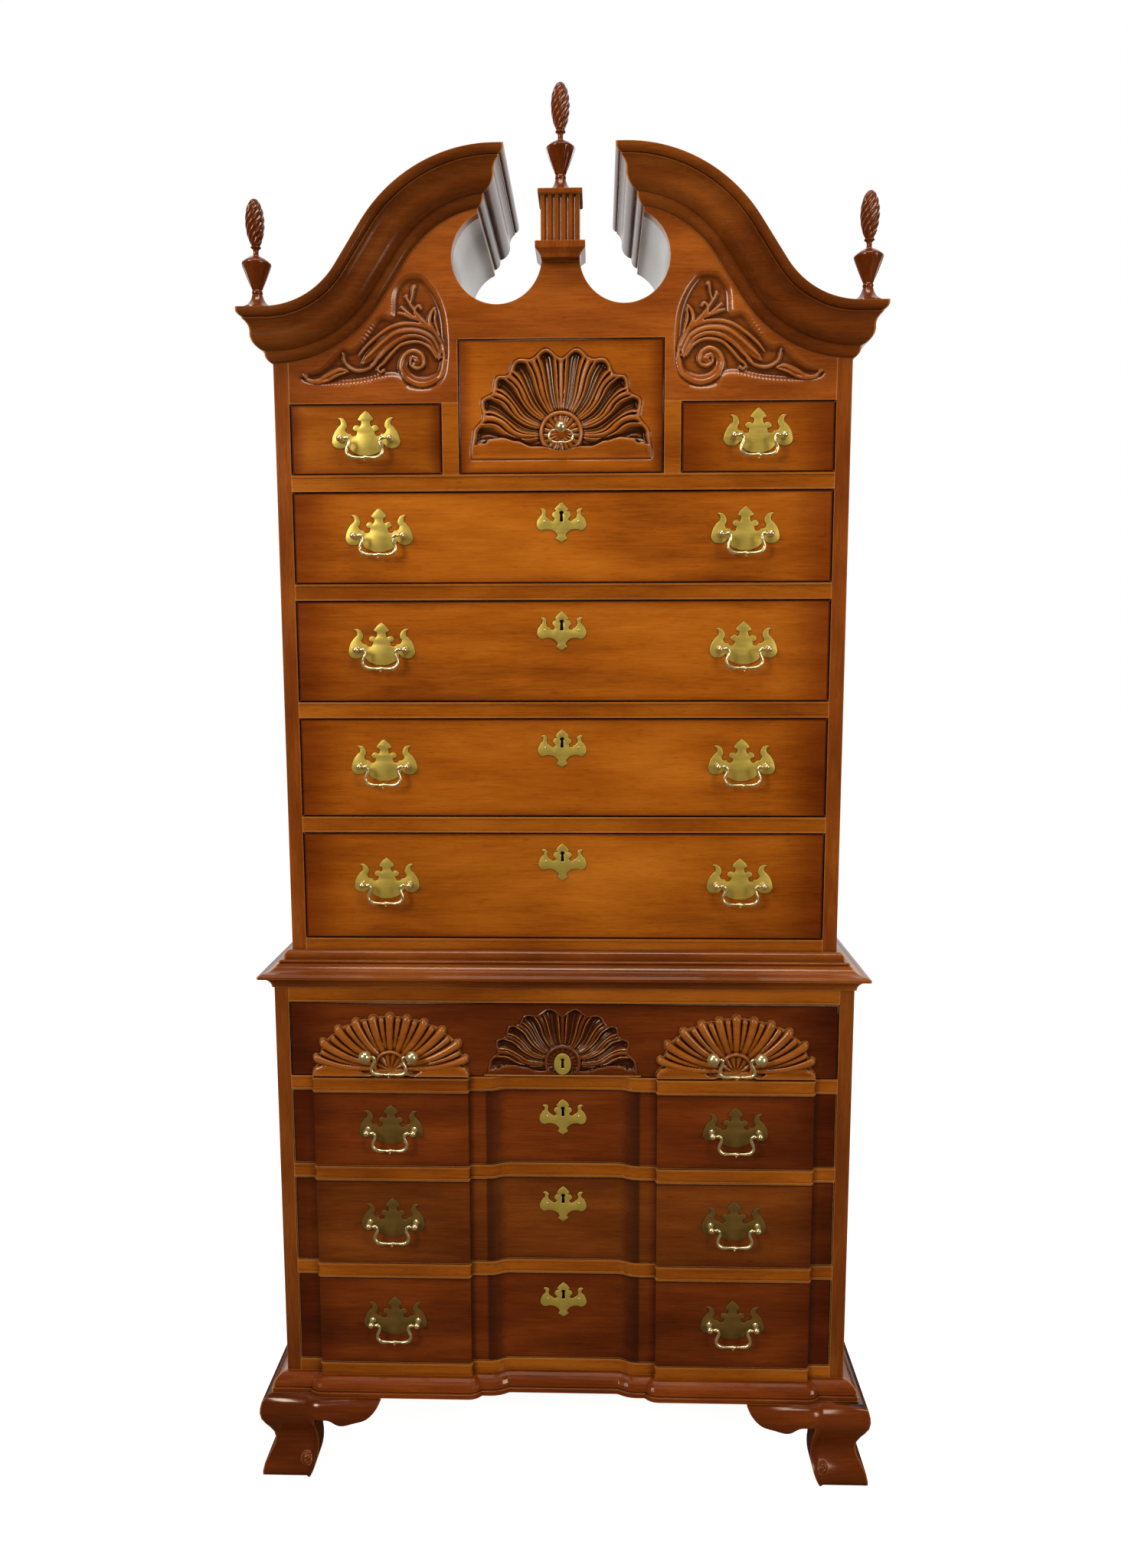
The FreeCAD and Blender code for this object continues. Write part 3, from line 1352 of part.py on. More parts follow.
def bail(name, x, y, z, ball):
    """A swinging bail: pins turned outwards into the posts, a waisted loop and a flat grip."""
    half, wire, drop = s.boring / 2, s.bail_wire, s.bail_drop
    pin_start = half - ball - s.bail_gap
    knuckle, waist, grip = (pin_start - inset for inset in
                            (s.bail_knuckle, s.bail_waist, s.bail_grip_inset))
    left = [Vector(-pin_start, 0, 0), Vector(-knuckle, 0, 0), Vector(-waist, 0, -drop * 0.62),
            Vector(-grip, 0, -drop)]
    corners = left + [Vector(-mark.x, 0, mark.z) for mark in reversed(left)]
    radii = [3, 8, 7, 7, 8, 3]
    path = rounded_path(corners, radii)
    section = Part.Wire(Part.makeCircle(wire, corners[0], X_AXIS))
    loop = path.makePipeShell([section], True, False)
    for side in (-1, 1):
        loop = loop.fuse(Part.makeCylinder(s.pin_radius, s.bail_gap + ball,
                                           Vector(side * (pin_start - 1), 0, 0), X_AXIS * side))
    loop.translate(Vector(x, y, z))
    return feature(name, loop.removeSplitter())


def drop_ring(name, x, y, z):
    """The small bail under the fan drawer's single ball."""
    half, drop, wire = s.ring_half, s.ring_drop, s.ring_wire
    inner = s.ring_pivot
    corners = [Vector(-inner + 2.5, 0, 0), Vector(-inner - 6, 0, 0), Vector(-half, 0, -drop * 0.45),
               Vector(-half + 5, 0, -drop), Vector(half - 5, 0, -drop), Vector(half, 0, -drop * 0.45),
               Vector(inner + 6, 0, 0), Vector(inner - 2.5, 0, 0)]
    path = rounded_path(corners, [3, 5, 5, 5, 5, 3])
    section = Part.Wire(Part.makeCircle(wire, corners[0], X_AXIS))
    loop = path.makePipeShell([section], True, False)
    loop.translate(Vector(x, y, z))
    return feature(name, loop)


def pull(stem, x, face, z):
    """A batwing plate, its two posts and their bail, on a front whose face is at a number."""
    pieces = [plate(f"{stem}_plate", mirrored(*batwing()), f"{x}", f"{face}", f"{z}")]
    front = face - s.plate_thick
    for word, side in SIDES.items():
        pieces.append(post(f"{stem}_post_{word}", x + side * s.boring / 2, front, z, s.post_ball,
                           side))
    bail(f"bail_{stem}", x, front - s.post_reach, z, s.post_ball)
    return pieces


def key_plate(stem, front, high):
    """A drawer's escutcheon, hung a set distance under the top of its opening."""
    return plate(f"{stem}_escutcheon", mirrored(*escutcheon()), "0", front,
                 f"{high} - dims.escutcheon_below", [keyhole(-s.keyhole_below)])


def knob_depth():
    """Depth of the knobs' centres, just clear of the raised shells."""
    return s.lower_front - s.shell_rise - s.knob_ball - s.knob_clear


def knob(name, x, z, face, pivot, side):
    """A round knob on a stem from the drawer front, with a bore on its inner side."""
    stem = Part.makeCylinder(s.knob_stem, face - pivot, Vector(x, face, z), -Y_AXIS)
    bore = Part.makeCylinder(s.pin_radius + s.pin_clearance, s.knob_ball + 1,
                             Vector(x, pivot, z), X_AXIS * -side)
    ball = Part.makeSphere(s.knob_ball, Vector(x, pivot, z))
    return feature(name, stem.fuse(ball).cut(bore).removeSplitter())


def shell_brasses():
    """Knobs and bails over both raised shells, and the key plate in the hollow one."""
    z = s.shell_low + s.shell_pull_rise
    key = keyhole(oval_key_height() - s.key_oval_rise)
    pieces = [plate("shell_key_plate", mirrored(*oval()), "0", "levels.lower_front",
                    "levels.shell_low + dims.shell_edge + dims.key_oval_rise", [key])]
    for word, side in SIDES.items():
        middle = side * s.block_middle
        for end, hand in SIDES.items():
            pieces.append(knob(f"shell_{word}_knob_{end}", middle + hand * s.boring / 2, z,
                               s.lower_front, knob_depth(), hand))
        bail(f"bail_shell_{word}", middle, knob_depth(), z, s.knob_ball)
    group("brasses_shell", pieces)


def fan_brasses():
    """The fan drawer's single knob, bored across below its middle for a small bail."""
    z = s.small_low + s.fan_edge + s.fan_base + s.fan_pull_rise
    pivot_y = s.front - s.post_reach
    stem = Part.makeCylinder(s.knob_stem, s.post_reach, Vector(0, s.front, z), -Y_AXIS)
    ball = Part.makeSphere(s.knob_ball, Vector(0, pivot_y, z))
    pivot_z = z - s.knob_ball * 0.5
    bore = Part.makeCylinder(s.ring_wire + s.pin_clearance, 4 * s.knob_ball,
                             Vector(-2 * s.knob_ball, pivot_y, pivot_z), X_AXIS)
    group("brasses_fan", [feature("fan_knob", stem.fuse(ball).cut(bore).removeSplitter())])
    drop_ring("bail_fan", 0, pivot_y, pivot_z)


def brasses():
    """Pulls and keyhole plates, one group for each drawer."""
    for word, side in SIDES.items():
        z = (s.small_low + s.small_high) / 2
        group(f"brasses_small_{word}", pull(f"small_{word}", side * s.small_middle, s.front, z))
    for number in (1, 2, 3, 4):
        low, high = getattr(s, f"upper_{number}_low"), getattr(s, f"upper_{number}_high")
        pieces = [key_plate(f"upper_{number}", "levels.front", f"levels.upper_{number}_high")]
        for word, side in SIDES.items():
            pieces += pull(f"upper_{number}_{word}", side * s.pull_offset, s.front,
                           (low + high) / 2 + s.pull_lift)
        group(f"brasses_upper_{number}", pieces)
    for number in (1, 2, 3):
        low, high = getattr(s, f"block_{number}_low"), getattr(s, f"block_{number}_high")
        pieces = [key_plate(f"block_{number}", "levels.lower_front + dims.recess_depth",
                            f"levels.block_{number}_high")]
        for word, side in SIDES.items():
            pieces += pull(f"block_{number}_{word}", side * s.block_middle,
                           s.lower_front - s.block_rise, (low + high) / 2)
        group(f"brasses_block_{number}", pieces)


# --------------------------------------------------------------------------- the whole piece
for case in ("upper", "lower"):
    for word, side in SIDES.items():
        case_side(f"{case}_side_{word}", case, side)
upper_frame()
lower_frame()
case_backs()
waist_moulding()
base_moulding()
feet()
scroll_board()
bonnet_box()
for word, side in SIDES.items():
    swan_moulding(word, side)
plinth()
finials()
drawers()
brasses()
shell_brasses()
fan_brasses()
doc.recompute()

# Every object that nothing else is grouped from is a sub-part with a file of its own.
SOLID_TYPES = ("Part::Feature", "Part::Compound", "Part::Box", "PartDesign::Body")
bad = [item.Name for item in doc.Objects if {"Invalid", "Error"} & set(item.State)]
if bad:
    raise RuntimeError(f"failed objects: {bad}")
used = {link.Name for item in doc.Objects if item.TypeId == "Part::Compound" for link in item.Links}
nodes = [item for item in doc.Objects if item.TypeId in SOLID_TYPES and item.Name not in used]
for node in nodes:
    if node.Shape.isNull() or not node.Shape.isValid() or not node.Shape.Solids:
        raise RuntimeError(f"{node.Label} has no sound solid")
os.makedirs("parts", exist_ok=True)
for node in nodes:
    node.Shape.exportStep(f"parts/{node.Label}.step")
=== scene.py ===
# %% [markdown]
# # A block-front chest on chest
# The real piece is two cases of drawers, one on the other, in mahogany stained warm red-brown and rubbed to
# a satin shine. A bonnet top closes it, with a swan-neck crown, three flame finials and carved shells.
# Its boards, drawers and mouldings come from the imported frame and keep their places. This script gives them
# wood and brass, and makes the carving and castings that the frame holds only as main forms.

import math

import bmesh
import bpy
from mathutils import Matrix, Vector, kdtree


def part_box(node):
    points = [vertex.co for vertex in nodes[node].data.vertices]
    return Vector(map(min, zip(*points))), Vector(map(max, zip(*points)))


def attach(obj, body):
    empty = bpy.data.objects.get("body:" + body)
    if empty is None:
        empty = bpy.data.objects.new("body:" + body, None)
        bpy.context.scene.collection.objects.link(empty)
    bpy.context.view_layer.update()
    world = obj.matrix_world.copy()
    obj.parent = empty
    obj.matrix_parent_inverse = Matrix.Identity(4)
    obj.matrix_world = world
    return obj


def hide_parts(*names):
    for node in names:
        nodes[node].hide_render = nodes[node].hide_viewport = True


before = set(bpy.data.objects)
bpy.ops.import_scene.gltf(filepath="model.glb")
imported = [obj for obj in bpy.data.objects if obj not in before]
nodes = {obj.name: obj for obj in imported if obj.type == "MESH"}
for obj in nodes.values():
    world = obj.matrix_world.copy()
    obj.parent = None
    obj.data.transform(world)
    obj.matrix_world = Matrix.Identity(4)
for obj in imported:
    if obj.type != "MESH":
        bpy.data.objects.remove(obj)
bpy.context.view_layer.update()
SIDES = {"left": -1, "right": 1}
MM = 0.001

# %% [markdown]
# ## Room, camera and lamps
# Furniture is shown on a pale floor under broad soft light, so the polish shows long gentle highlights
# instead of hard spots. The room behind the piece is white and the room behind the camera is dim: a polished
# front then keeps its colour, and the sides and rounded edges catch the pale backdrop. The camera stands two
# metres away at chin height and looks slightly down.

# %% Floor
FLOOR_HALF = 12.0

plane = bmesh.new()
bmesh.ops.create_grid(plane, x_segments=1, y_segments=1, size=FLOOR_HALF)
floor_mesh = bpy.data.meshes.new("floor")
plane.to_mesh(floor_mesh)
plane.free()
floor = bpy.data.objects.new("floor", floor_mesh)
bpy.context.scene.collection.objects.link(floor)


# %% Node helpers
def joined(tree, source, target):
    """Links a socket to an input, or sets the input to a plain value."""
    if isinstance(source, bpy.types.NodeSocket):
        tree.links.new(source, target)
    else:
        target.default_value = source


def placed(tree, kind, inputs=None, **settings):
    """A node in a tree, its properties set and its inputs linked or set."""
    node = tree.nodes.new(kind)
    for name, value in settings.items():
        setattr(node, name, value)
    for name, value in (inputs or {}).items():
        joined(tree, value, node.inputs[name])
    return node


def sum_of(tree, operation, first, second=0.0, third=0.0, **settings):
    """A Math node between one, two or three sockets or numbers. Returns its output."""
    values = {0: first, 1: second, 2: third}
    return placed(tree, "ShaderNodeMath", values, operation=operation, **settings).outputs["Value"]


def product(tree, first, second, **settings):
    """A Math node that multiplies two sockets or numbers. Returns its output."""
    return sum_of(tree, "MULTIPLY", first, second, **settings)


def axis_of(tree, vector, axis):
    """The X, Y or Z part of a vector socket."""
    return placed(tree, "ShaderNodeSeparateXYZ", {"Vector": vector}).outputs[axis]


def fade(tree, value, start, end):
    """A Map Range node that goes from 0 at start to 1 at end. Returns its output."""
    return placed(tree, "ShaderNodeMapRange", {"From Min": start, "From Max": end, "Value": value},
                  interpolation_type="SMOOTHSTEP").outputs["Result"]


def mixed(tree, factor, first, second, **settings):
    """A mix of two colours, each a socket or a plain colour. Returns the colour."""
    return placed(tree, "ShaderNodeMix", {"Factor": factor, "A": first, "B": second},
                  data_type="RGBA", **settings).outputs["Result"]


def new_material(name):
    """A new material, with its node tree and its Principled shader."""
    made = bpy.data.materials.new(name)
    made.use_nodes = True
    return made, made.node_tree, made.node_tree.nodes["Principled BSDF"]


def own_place(tree):
    """The place of each point on its own object."""
    return placed(tree, "ShaderNodeTexCoord").outputs["Object"]


# %% Floor paint
WHITE = (1, 1, 1, 1)
FLOOR_TONE = (0.34, 0.34, 0.34, 1)
FLOOR_MIRRORED = (0.07, 0.05, 0.035, 1)
FLOOR_LIFT = 0.93

paint, tree, matt = new_material("floor_paint")
matt.inputs["Roughness"].default_value = 0.9
matt.inputs["Specular IOR Level"].default_value = 0.1
matt.inputs["Emission Color"].default_value = WHITE
seen = placed(tree, "ShaderNodeLightPath").outputs
tone = mixed(tree, seen["Is Glossy Ray"], FLOOR_TONE, FLOOR_MIRRORED)
joined(tree, tone, matt.inputs["Base Color"])
joined(tree, product(tree, seen["Is Camera Ray"], FLOOR_LIFT), matt.inputs["Emission Strength"])
floor_mesh.materials.append(paint)

# %% World
ROOM_LIGHT = 0.40
BACKDROP = 1.0
BEHIND_CAMERA = 0.04
DIM_UNTIL = (-0.15, 0.5)

world = bpy.data.worlds.new("room")
bpy.context.scene.world = world
world.use_nodes = True
sky = world.node_tree
room = sky.nodes["Background"]


def backdrop(strength):
    """A plain white background of one strength."""
    return placed(sky, "ShaderNodeBackground", {"Color": WHITE, "Strength": strength}).outputs["Background"]


def either(factor, first, second):
    """A mix of two backgrounds."""
    return placed(sky, "ShaderNodeMixShader", {"Fac": factor, 1: first, 2: second}).outputs["Shader"]


room.inputs["Color"].default_value = WHITE
room.inputs["Strength"].default_value = ROOM_LIGHT
path = placed(sky, "ShaderNodeLightPath").outputs
direction = placed(sky, "ShaderNodeTexCoord").outputs["Generated"]
white = backdrop(BACKDROP)
mirrored = either(fade(sky, axis_of(sky, direction, "Y"), *DIM_UNTIL), backdrop(BEHIND_CAMERA), white)
lit = either(path["Is Glossy Ray"], room.outputs["Background"], mirrored)
through = sum_of(sky, "MAXIMUM", path["Is Camera Ray"], path["Is Transmission Ray"])
joined(sky, either(through, lit, white), sky.nodes["World Output"].inputs["Surface"])

# %% Camera
FOCAL_PIXELS = 1500.0
FRAME_TALL = 2048.0
SENSOR = 36.0
EYE = Vector((0.0561, -2.0059, 1.3939))
YAW, PITCH, ROLL = -0.02926, 0.12577, 0.00286

lens = bpy.data.cameras.new("camera")
lens.sensor_width = SENSOR
lens.lens = SENSOR * FOCAL_PIXELS / FRAME_TALL
camera = bpy.data.objects.new("camera", lens)
bpy.context.scene.collection.objects.link(camera)
bpy.context.scene.camera = camera
ahead = Vector((math.sin(YAW) * math.cos(PITCH), math.cos(YAW) * math.cos(PITCH), -math.sin(PITCH)))
camera.rotation_mode = "QUATERNION"
upright = ahead.to_track_quat("-Z", "Y")
camera.rotation_quaternion = upright @ Matrix.Rotation(-ROLL, 3, "Z").to_quaternion()
camera.location = EYE

# %% Lamps
LAMPS = {
    # name: (place, watts, width, height)
    "key_window": ((-2.6, -3.2, 3.0), 100, 1.1, 1.6),
    "fill_window": ((3.0, -2.8, 1.8), 54, 0.9, 1.9),
    "ceiling": ((0.0, -1.2, 4.2), 54, 2.4, 0.7),
    "back_left": ((-2.6, 2.6, 2.6), 34, 2.0, 2.0),
    "back_right": ((2.6, 2.6, 2.6), 34, 2.0, 2.0),
}
AIM = Vector((0.0, 0.0, 1.1))

for name, (place, watts, wide, tall) in LAMPS.items():
    light = bpy.data.lights.new(name, "AREA")
    light.shape = "RECTANGLE"
    light.size, light.size_y = wide, tall
    light.energy = watts
    lamp = bpy.data.objects.new(name, light)
    lamp.location = place
    lamp.rotation_mode = "QUATERNION"
    lamp.rotation_quaternion = (AIM - Vector(place)).to_track_quat("-Z", "Y")
    bpy.context.scene.collection.objects.link(lamp)
bpy.context.scene.view_settings.view_transform = "Standard"
print("lamps:", len(LAMPS))

# %% [markdown]
# ## Shared effects
# Every board shares the same few effects: soft clouds and fine streaks of figure, pores along the grain, the
# dark glaze that the finisher leaves in hollows and along the borders of a drawer front, with the shade that
# falls there painted in the same dark, and edges rubbed lighter, which are also painted highlights. Each is a
# node group, made once with named inputs, and every wood puts its own values into it.


# %% Helpers for the groups
def new_group(name, vectors, numbers, results):
    """A node group with vector and number inputs and number results, and the sockets at its two ends."""
    tree = bpy.data.node_groups.new(name, "ShaderNodeTree")
    for label in vectors:
        tree.interface.new_socket(label, in_out="INPUT", socket_type="NodeSocketVector")
    for label, usual in numbers.items():
        tree.interface.new_socket(label, in_out="INPUT", socket_type="NodeSocketFloat").default_value = usual
    for label in results:
        tree.interface.new_socket(label, in_out="OUTPUT", socket_type="NodeSocketFloat")
    return tree, placed(tree, "NodeGroupInput").outputs, placed(tree, "NodeGroupOutput").inputs


def noise(tree, vector, scale, detail, roughness=0.5):
    """Noise that is stretched by one scale along each axis. Returns its value."""
    stretched = placed(tree, "ShaderNodeMapping", {"Scale": scale, "Vector": vector}).outputs["Vector"]
    return placed(tree, "ShaderNodeTexNoise", {"Scale": 1.0, "Detail": detail, "Roughness": roughness,
                                               "Vector": stretched}).outputs["Fac"]


# %% Wood figure group
MOTTLE = (5.5, 26.0, 26.0)
STREAK = (16.0, 330.0, 330.0)
PORE = (60.0, 1500.0, 1500.0)
CLOUD = (3.2, 4.5, 4.5)


def figure_group():
    """Clouds, mottle, streaks and pores for a board whose grain runs along its local X."""
    tree, given, result = new_group("wood_figure", ["Vector", "Offset"], {"Mottle": 0.6, "Streaks": 0.34},
                                    ["Figure", "Pores"])
    board = placed(tree, "ShaderNodeVectorMath", {0: given["Vector"], 1: given["Offset"]},
                   operation="ADD").outputs["Vector"]
    mottle = sum_of(tree, "SUBTRACT", noise(tree, board, MOTTLE, 3.0, 0.55), 0.5)
    fine = sum_of(tree, "SUBTRACT", noise(tree, board, STREAK, 4.0, 0.6), 0.5)
    total = sum_of(tree, "ADD", product(tree, mottle, given["Mottle"]), product(tree, fine, given["Streaks"]))
    cloud = sum_of(tree, "MULTIPLY_ADD", noise(tree, board, CLOUD, 1.0), 0.55, third=0.225)
    joined(tree, sum_of(tree, "ADD", total, cloud, use_clamp=True), result["Figure"])
    joined(tree, noise(tree, board, PORE, 1.0), result["Pores"])
    return tree


wood_figure = figure_group()


# %% Glaze and painted shade group
CLOSED_IN = (0.86, 0.36)
STANDS_OUT = (0.78, 0.40)
EDGE_REACH = 0.0022
FEW_SAMPLES = 6


def glaze_group():
    """Masks of corners and hollows, where dark glaze stays and painted shade falls, and of outer edges, which
    are rubbed and carry a painted highlight.
    """
    tree, given, result = new_group("hollow_glaze_and_shade", [], {"Reach": 0.012, "Strength": 1.0}, ["Mask", "Rubbed Highlight"])
    inner = placed(tree, "ShaderNodeAmbientOcclusion", {"Distance": given["Reach"]}, samples=FEW_SAMPLES)
    closed = fade(tree, inner.outputs["AO"], *CLOSED_IN)
    joined(tree, product(tree, closed, given["Strength"], use_clamp=True), result["Mask"])
    outer = placed(tree, "ShaderNodeAmbientOcclusion", {"Distance": EDGE_REACH}, samples=FEW_SAMPLES,
                   inside=True)
    joined(tree, fade(tree, outer.outputs["AO"], *STANDS_OUT), result["Rubbed Highlight"])
    return tree


hollow_glaze_and_shade = glaze_group()


# %% Border group
LINE_WIDTH = (0.0045, 0.001)
NARROW_SHADE = 0.016


def border_group():
    """Where a front darkens towards its borders: a fine line all round, of glaze and painted shade, a broad
    shaded finish at its ends, which is also painted shade, and painted shade along its top and bottom.
    """
    tree, given, result = new_group("front_border", ["Position", "Low", "High"], {"Ends": 0.07},
                                    ["Line", "Shade"])
    gaps = [placed(tree, "ShaderNodeVectorMath", {0: given[first], 1: given[second]},
                   operation="SUBTRACT").outputs["Vector"]
            for first, second in (("Position", "Low"), ("High", "Position"))]
    across, up = (sum_of(tree, "MINIMUM", *(axis_of(tree, gap, axis) for gap in gaps)) for axis in "XZ")
    joined(tree, fade(tree, sum_of(tree, "MINIMUM", across, up), *LINE_WIDTH), result["Line"])
    broad = fade(tree, sum_of(tree, "DIVIDE", across, given["Ends"]), 1.0, 0.0)
    narrow = fade(tree, product(tree, up, 1 / NARROW_SHADE), 1.0, 0.0)
    joined(tree, sum_of(tree, "MAXIMUM", broad, product(tree, narrow, 0.55)), result["Shade"])
    return tree


front_border = border_group()

# %% [markdown]
# ## Mahogany
# The boards are one wood, but each is its own plank: the grain runs along the piece, so the pattern is
# turned to the board's length and moved to its own place, and one board is a little redder or darker than
# the next. The upper fronts are an orange brown and the lower case is a deep red brown. A drawer is only
# polished on its front: behind it the box is plain pale poplar, whose grain runs from front to back.

# %% Colours of the wood
GRAIN_TURN = {"along": (0, 0, 0), "upright": (0, math.pi / 2, 0), "deep": (0, 0, math.pi / 2)}
STAINS = {
    # name: (dark, middle, light)
    "amber": ((0.170, 0.034, 0.0020), (0.310, 0.074, 0.0030), (0.45, 0.125, 0.0070)),
    "russet": ((0.100, 0.0190, 0.0022), (0.190, 0.040, 0.0035), (0.31, 0.078, 0.0070)),
    "red": ((0.060, 0.0095, 0.0012), (0.125, 0.0210, 0.0018), (0.22, 0.043, 0.0035)),
}
# The dark of glaze, used also as painted shade in corners, hollows, recesses and borders, and for the darker
# uprights of a frame.
GLAZE_AND_SHADE = (0.016, 0.0040, 0.0015, 1)
# A painted highlight on the crests of a carving.
CREST_HIGHLIGHT = (0.44, 0.17, 0.045, 1)
# Edges lighten with wear, and the same lighter colour is their painted highlight.
RUBBED_AND_HIGHLIGHT = (0.60, 0.25, 0.06, 1)
PORE_TINT = (0.5, 0.4, 0.35, 1)
# The tint of a front's darker ends and top and bottom: a shaded finish and painted shade.
BORDER_SHADE_TINT = (0.42, 0.26, 0.16, 1)
POPLAR = ((0.34, 0.21, 0.10, 1), (0.52, 0.36, 0.19, 1))
# Soil and painted shade in the corners of a plain box.
POPLAR_SOILED_AND_SHADED = (0.10, 0.055, 0.025, 1)


# %% Wood parts of a material
def stain_ramp(tree, figure, stain, tone):
    """The three colours of a stain over the wood's figure. Returns the colour."""
    ramp = placed(tree, "ShaderNodeValToRGB", {"Fac": figure})
    dark, middle, light = ((*(c * tone for c in colour), 1) for colour in STAINS[stain])
    stops = ramp.color_ramp.elements
    stops[0].position, stops[0].color = 0.26, dark
    stops[1].position, stops[1].color = 0.76, light
    stops.new(0.5).color = middle
    return ramp.outputs["Color"]


def plank(tree, position, grain, offset):
    """The figure and pores of one plank."""
    turned = placed(tree, "ShaderNodeMapping", {"Rotation": GRAIN_TURN[grain], "Vector": position})
    return placed(tree, "ShaderNodeGroup", {"Offset": offset, "Vector": turned.outputs["Vector"]},
                  node_tree=wood_figure).outputs


def corner_masks(tree, reach, strength):
    """The masks of the corners, as far out as reach, where glaze stays and painted shade falls, and of the
    rubbed edges with their painted highlight.
    """
    return placed(tree, "ShaderNodeGroup", {"Reach": reach, "Strength": strength},
                  node_tree=hollow_glaze_and_shade).outputs


def darkened_by_glaze_and_shade(tree, factor, strength, colour):
    """A colour darkened where the factor is high, with the dark of glaze that also serves as painted shade.
    """
    return mixed(tree, product(tree, factor, strength), colour, GLAZE_AND_SHADE)


def press_pores(tree, pores, shader, strength, depth):
    """Presses the pores of the wood a little into the surface."""
    relief = placed(tree, "ShaderNodeBump", {"Strength": strength, "Distance": depth, "Height": pores})
    joined(tree, relief.outputs["Normal"], shader.inputs["Normal"])


# %% Mahogany material
SATIN, SATIN_CHANGE, BARE_ROUGHER = 0.12, 0.10, 0.4
DARK_PORES = (0.42, 0.30)
# How dark a front's borders get with glaze and painted shade, how dark the painted shade inside a block
# front's recess is, and how much darker a frame's uprights are.
BORDER_GLAZE_AND_SHADE, RECESS_PAINTED_SHADE, UPRIGHT_GLAZE = 0.9, 0.72, 0.5
RECESS_SHADE, RECESS_EDGE = 0.036, 0.004
# The ranges of a carving's hollow mark over which its hollows take glaze and painted shade and its crests a
# painted highlight.
HOLLOWS, CRESTS = (0.0, 1.5), (-0.15, -1.4)
SEAM = 0.0004
WARM_SHINE = (1.0, 0.80, 0.62, 1)


def mahogany(name, stain, grain, offset, tone, glaze=0.75, reach=0.012, border=None, plain_from=None,
             ends=0.07, carved=0.0, rubbed_highlight=0.8, recess=None, dark_beyond=None, crests=0.6):
    """A polished mahogany for one board.

    border is a front's lowest and highest corner, where glaze and painted shade darken a fine line round it,
    and a shaded finish that is also painted shade darkens its ends. plain_from is the depth where the
    polished front ends and the plain box behind it begins. glaze is how dark the corners and hollows get,
    with glaze and painted shade. carved is how strongly the hollows of a carving are darkened with glaze and
    painted shade, crests how much of that lightens its ridges as a painted highlight, and rubbing how light
    the sharp edges are, with wear and a painted highlight. recess is the half width of a block front's sunk
    middle, where painted shade darkens the inside of both its sides, and dark_beyond how far out a frame's
    uprights begin, which are darker than its rails.
    """
    made, tree, shader = new_material(name)
    position = own_place(tree)
    figure = plank(tree, position, grain, offset)
    colour = stain_ramp(tree, figure["Figure"], stain, tone)
    pores = product(tree, fade(tree, figure["Pores"], *DARK_PORES), 0.5)
    colour = mixed(tree, pores, colour, PORE_TINT, blend_type="MULTIPLY")
    # Glaze and painted shade in a fine line round the front, and a shaded finish at its ends that is also
    # painted shade.
    if border:
        edge = placed(tree, "ShaderNodeGroup", {"Position": position, "Low": border[0], "High": border[1],
                                                "Ends": ends}, node_tree=front_border).outputs
        shaded = product(tree, edge["Shade"], BORDER_GLAZE_AND_SHADE)
        colour = mixed(tree, shaded, colour, BORDER_SHADE_TINT, blend_type="MULTIPLY")
        colour = darkened_by_glaze_and_shade(tree, edge["Line"], BORDER_GLAZE_AND_SHADE, colour)
    # Corners and hollows darken with glaze and painted shade, and the sharp edges lighten with wear and a
    # painted highlight.
    masks = corner_masks(tree, reach, glaze)
    colour = mixed(tree, masks["Mask"], colour, GLAZE_AND_SHADE)
    colour = mixed(tree, product(tree, masks["Rubbed Highlight"], rubbed_highlight), colour, RUBBED_AND_HIGHLIGHT)
    if recess or dark_beyond:
        aside = sum_of(tree, "ABSOLUTE", axis_of(tree, position, "X"))
    # Painted shade inside both sides of a block front's sunk middle.
    if recess:
        within = product(tree, fade(tree, aside, recess - RECESS_SHADE, recess),
                         fade(tree, aside, recess + RECESS_EDGE, recess))
        colour = darkened_by_glaze_and_shade(tree, within, RECESS_PAINTED_SHADE, colour)
    if dark_beyond:
        outside = fade(tree, aside, dark_beyond - MM / 2, dark_beyond + MM / 2)
        colour = darkened_by_glaze_and_shade(tree, outside, UPRIGHT_GLAZE, colour)
    # The carving's hollows darken with glaze and painted shade, and its crests lighten with a painted
    # highlight.
    if carved:
        mark = placed(tree, "ShaderNodeAttribute", attribute_name="hollow").outputs["Fac"]
        colour = darkened_by_glaze_and_shade(tree, fade(tree, mark, *HOLLOWS), carved, colour)
        crest = product(tree, fade(tree, mark, *CRESTS), carved * crests)
        colour = mixed(tree, crest, colour, CREST_HIGHLIGHT)
    gloss = fade(tree, figure["Figure"], 0.0, 1.0)
    rough = sum_of(tree, "ADD", product(tree, gloss, SATIN_CHANGE), SATIN)
    if plain_from is not None:
        plain = fade(tree, axis_of(tree, position, "Y"), plain_from - SEAM, plain_from + SEAM)
        bare = mixed(tree, plank(tree, position, "deep", offset)["Figure"], *POPLAR)
        # The plain box darkens in its corners, with soil and painted shade.
        bare = mixed(tree, product(tree, masks["Mask"], 0.5), bare, POPLAR_SOILED_AND_SHADED)
        colour = mixed(tree, plain, colour, bare)
        rough = sum_of(tree, "ADD", rough, product(tree, plain, BARE_ROUGHER))
    joined(tree, colour, shader.inputs["Base Color"])
    joined(tree, rough, shader.inputs["Roughness"])
    press_pores(tree, figure["Pores"], shader, 0.10, 0.3 * MM)
    shader.inputs["Specular Tint"].default_value = WARM_SHINE
    return made


def dress(name, material):
    """Gives a CAD node one finish over its whole mesh."""
    mesh = nodes[name].data
    mesh.materials.clear()
    mesh.materials.append(material)


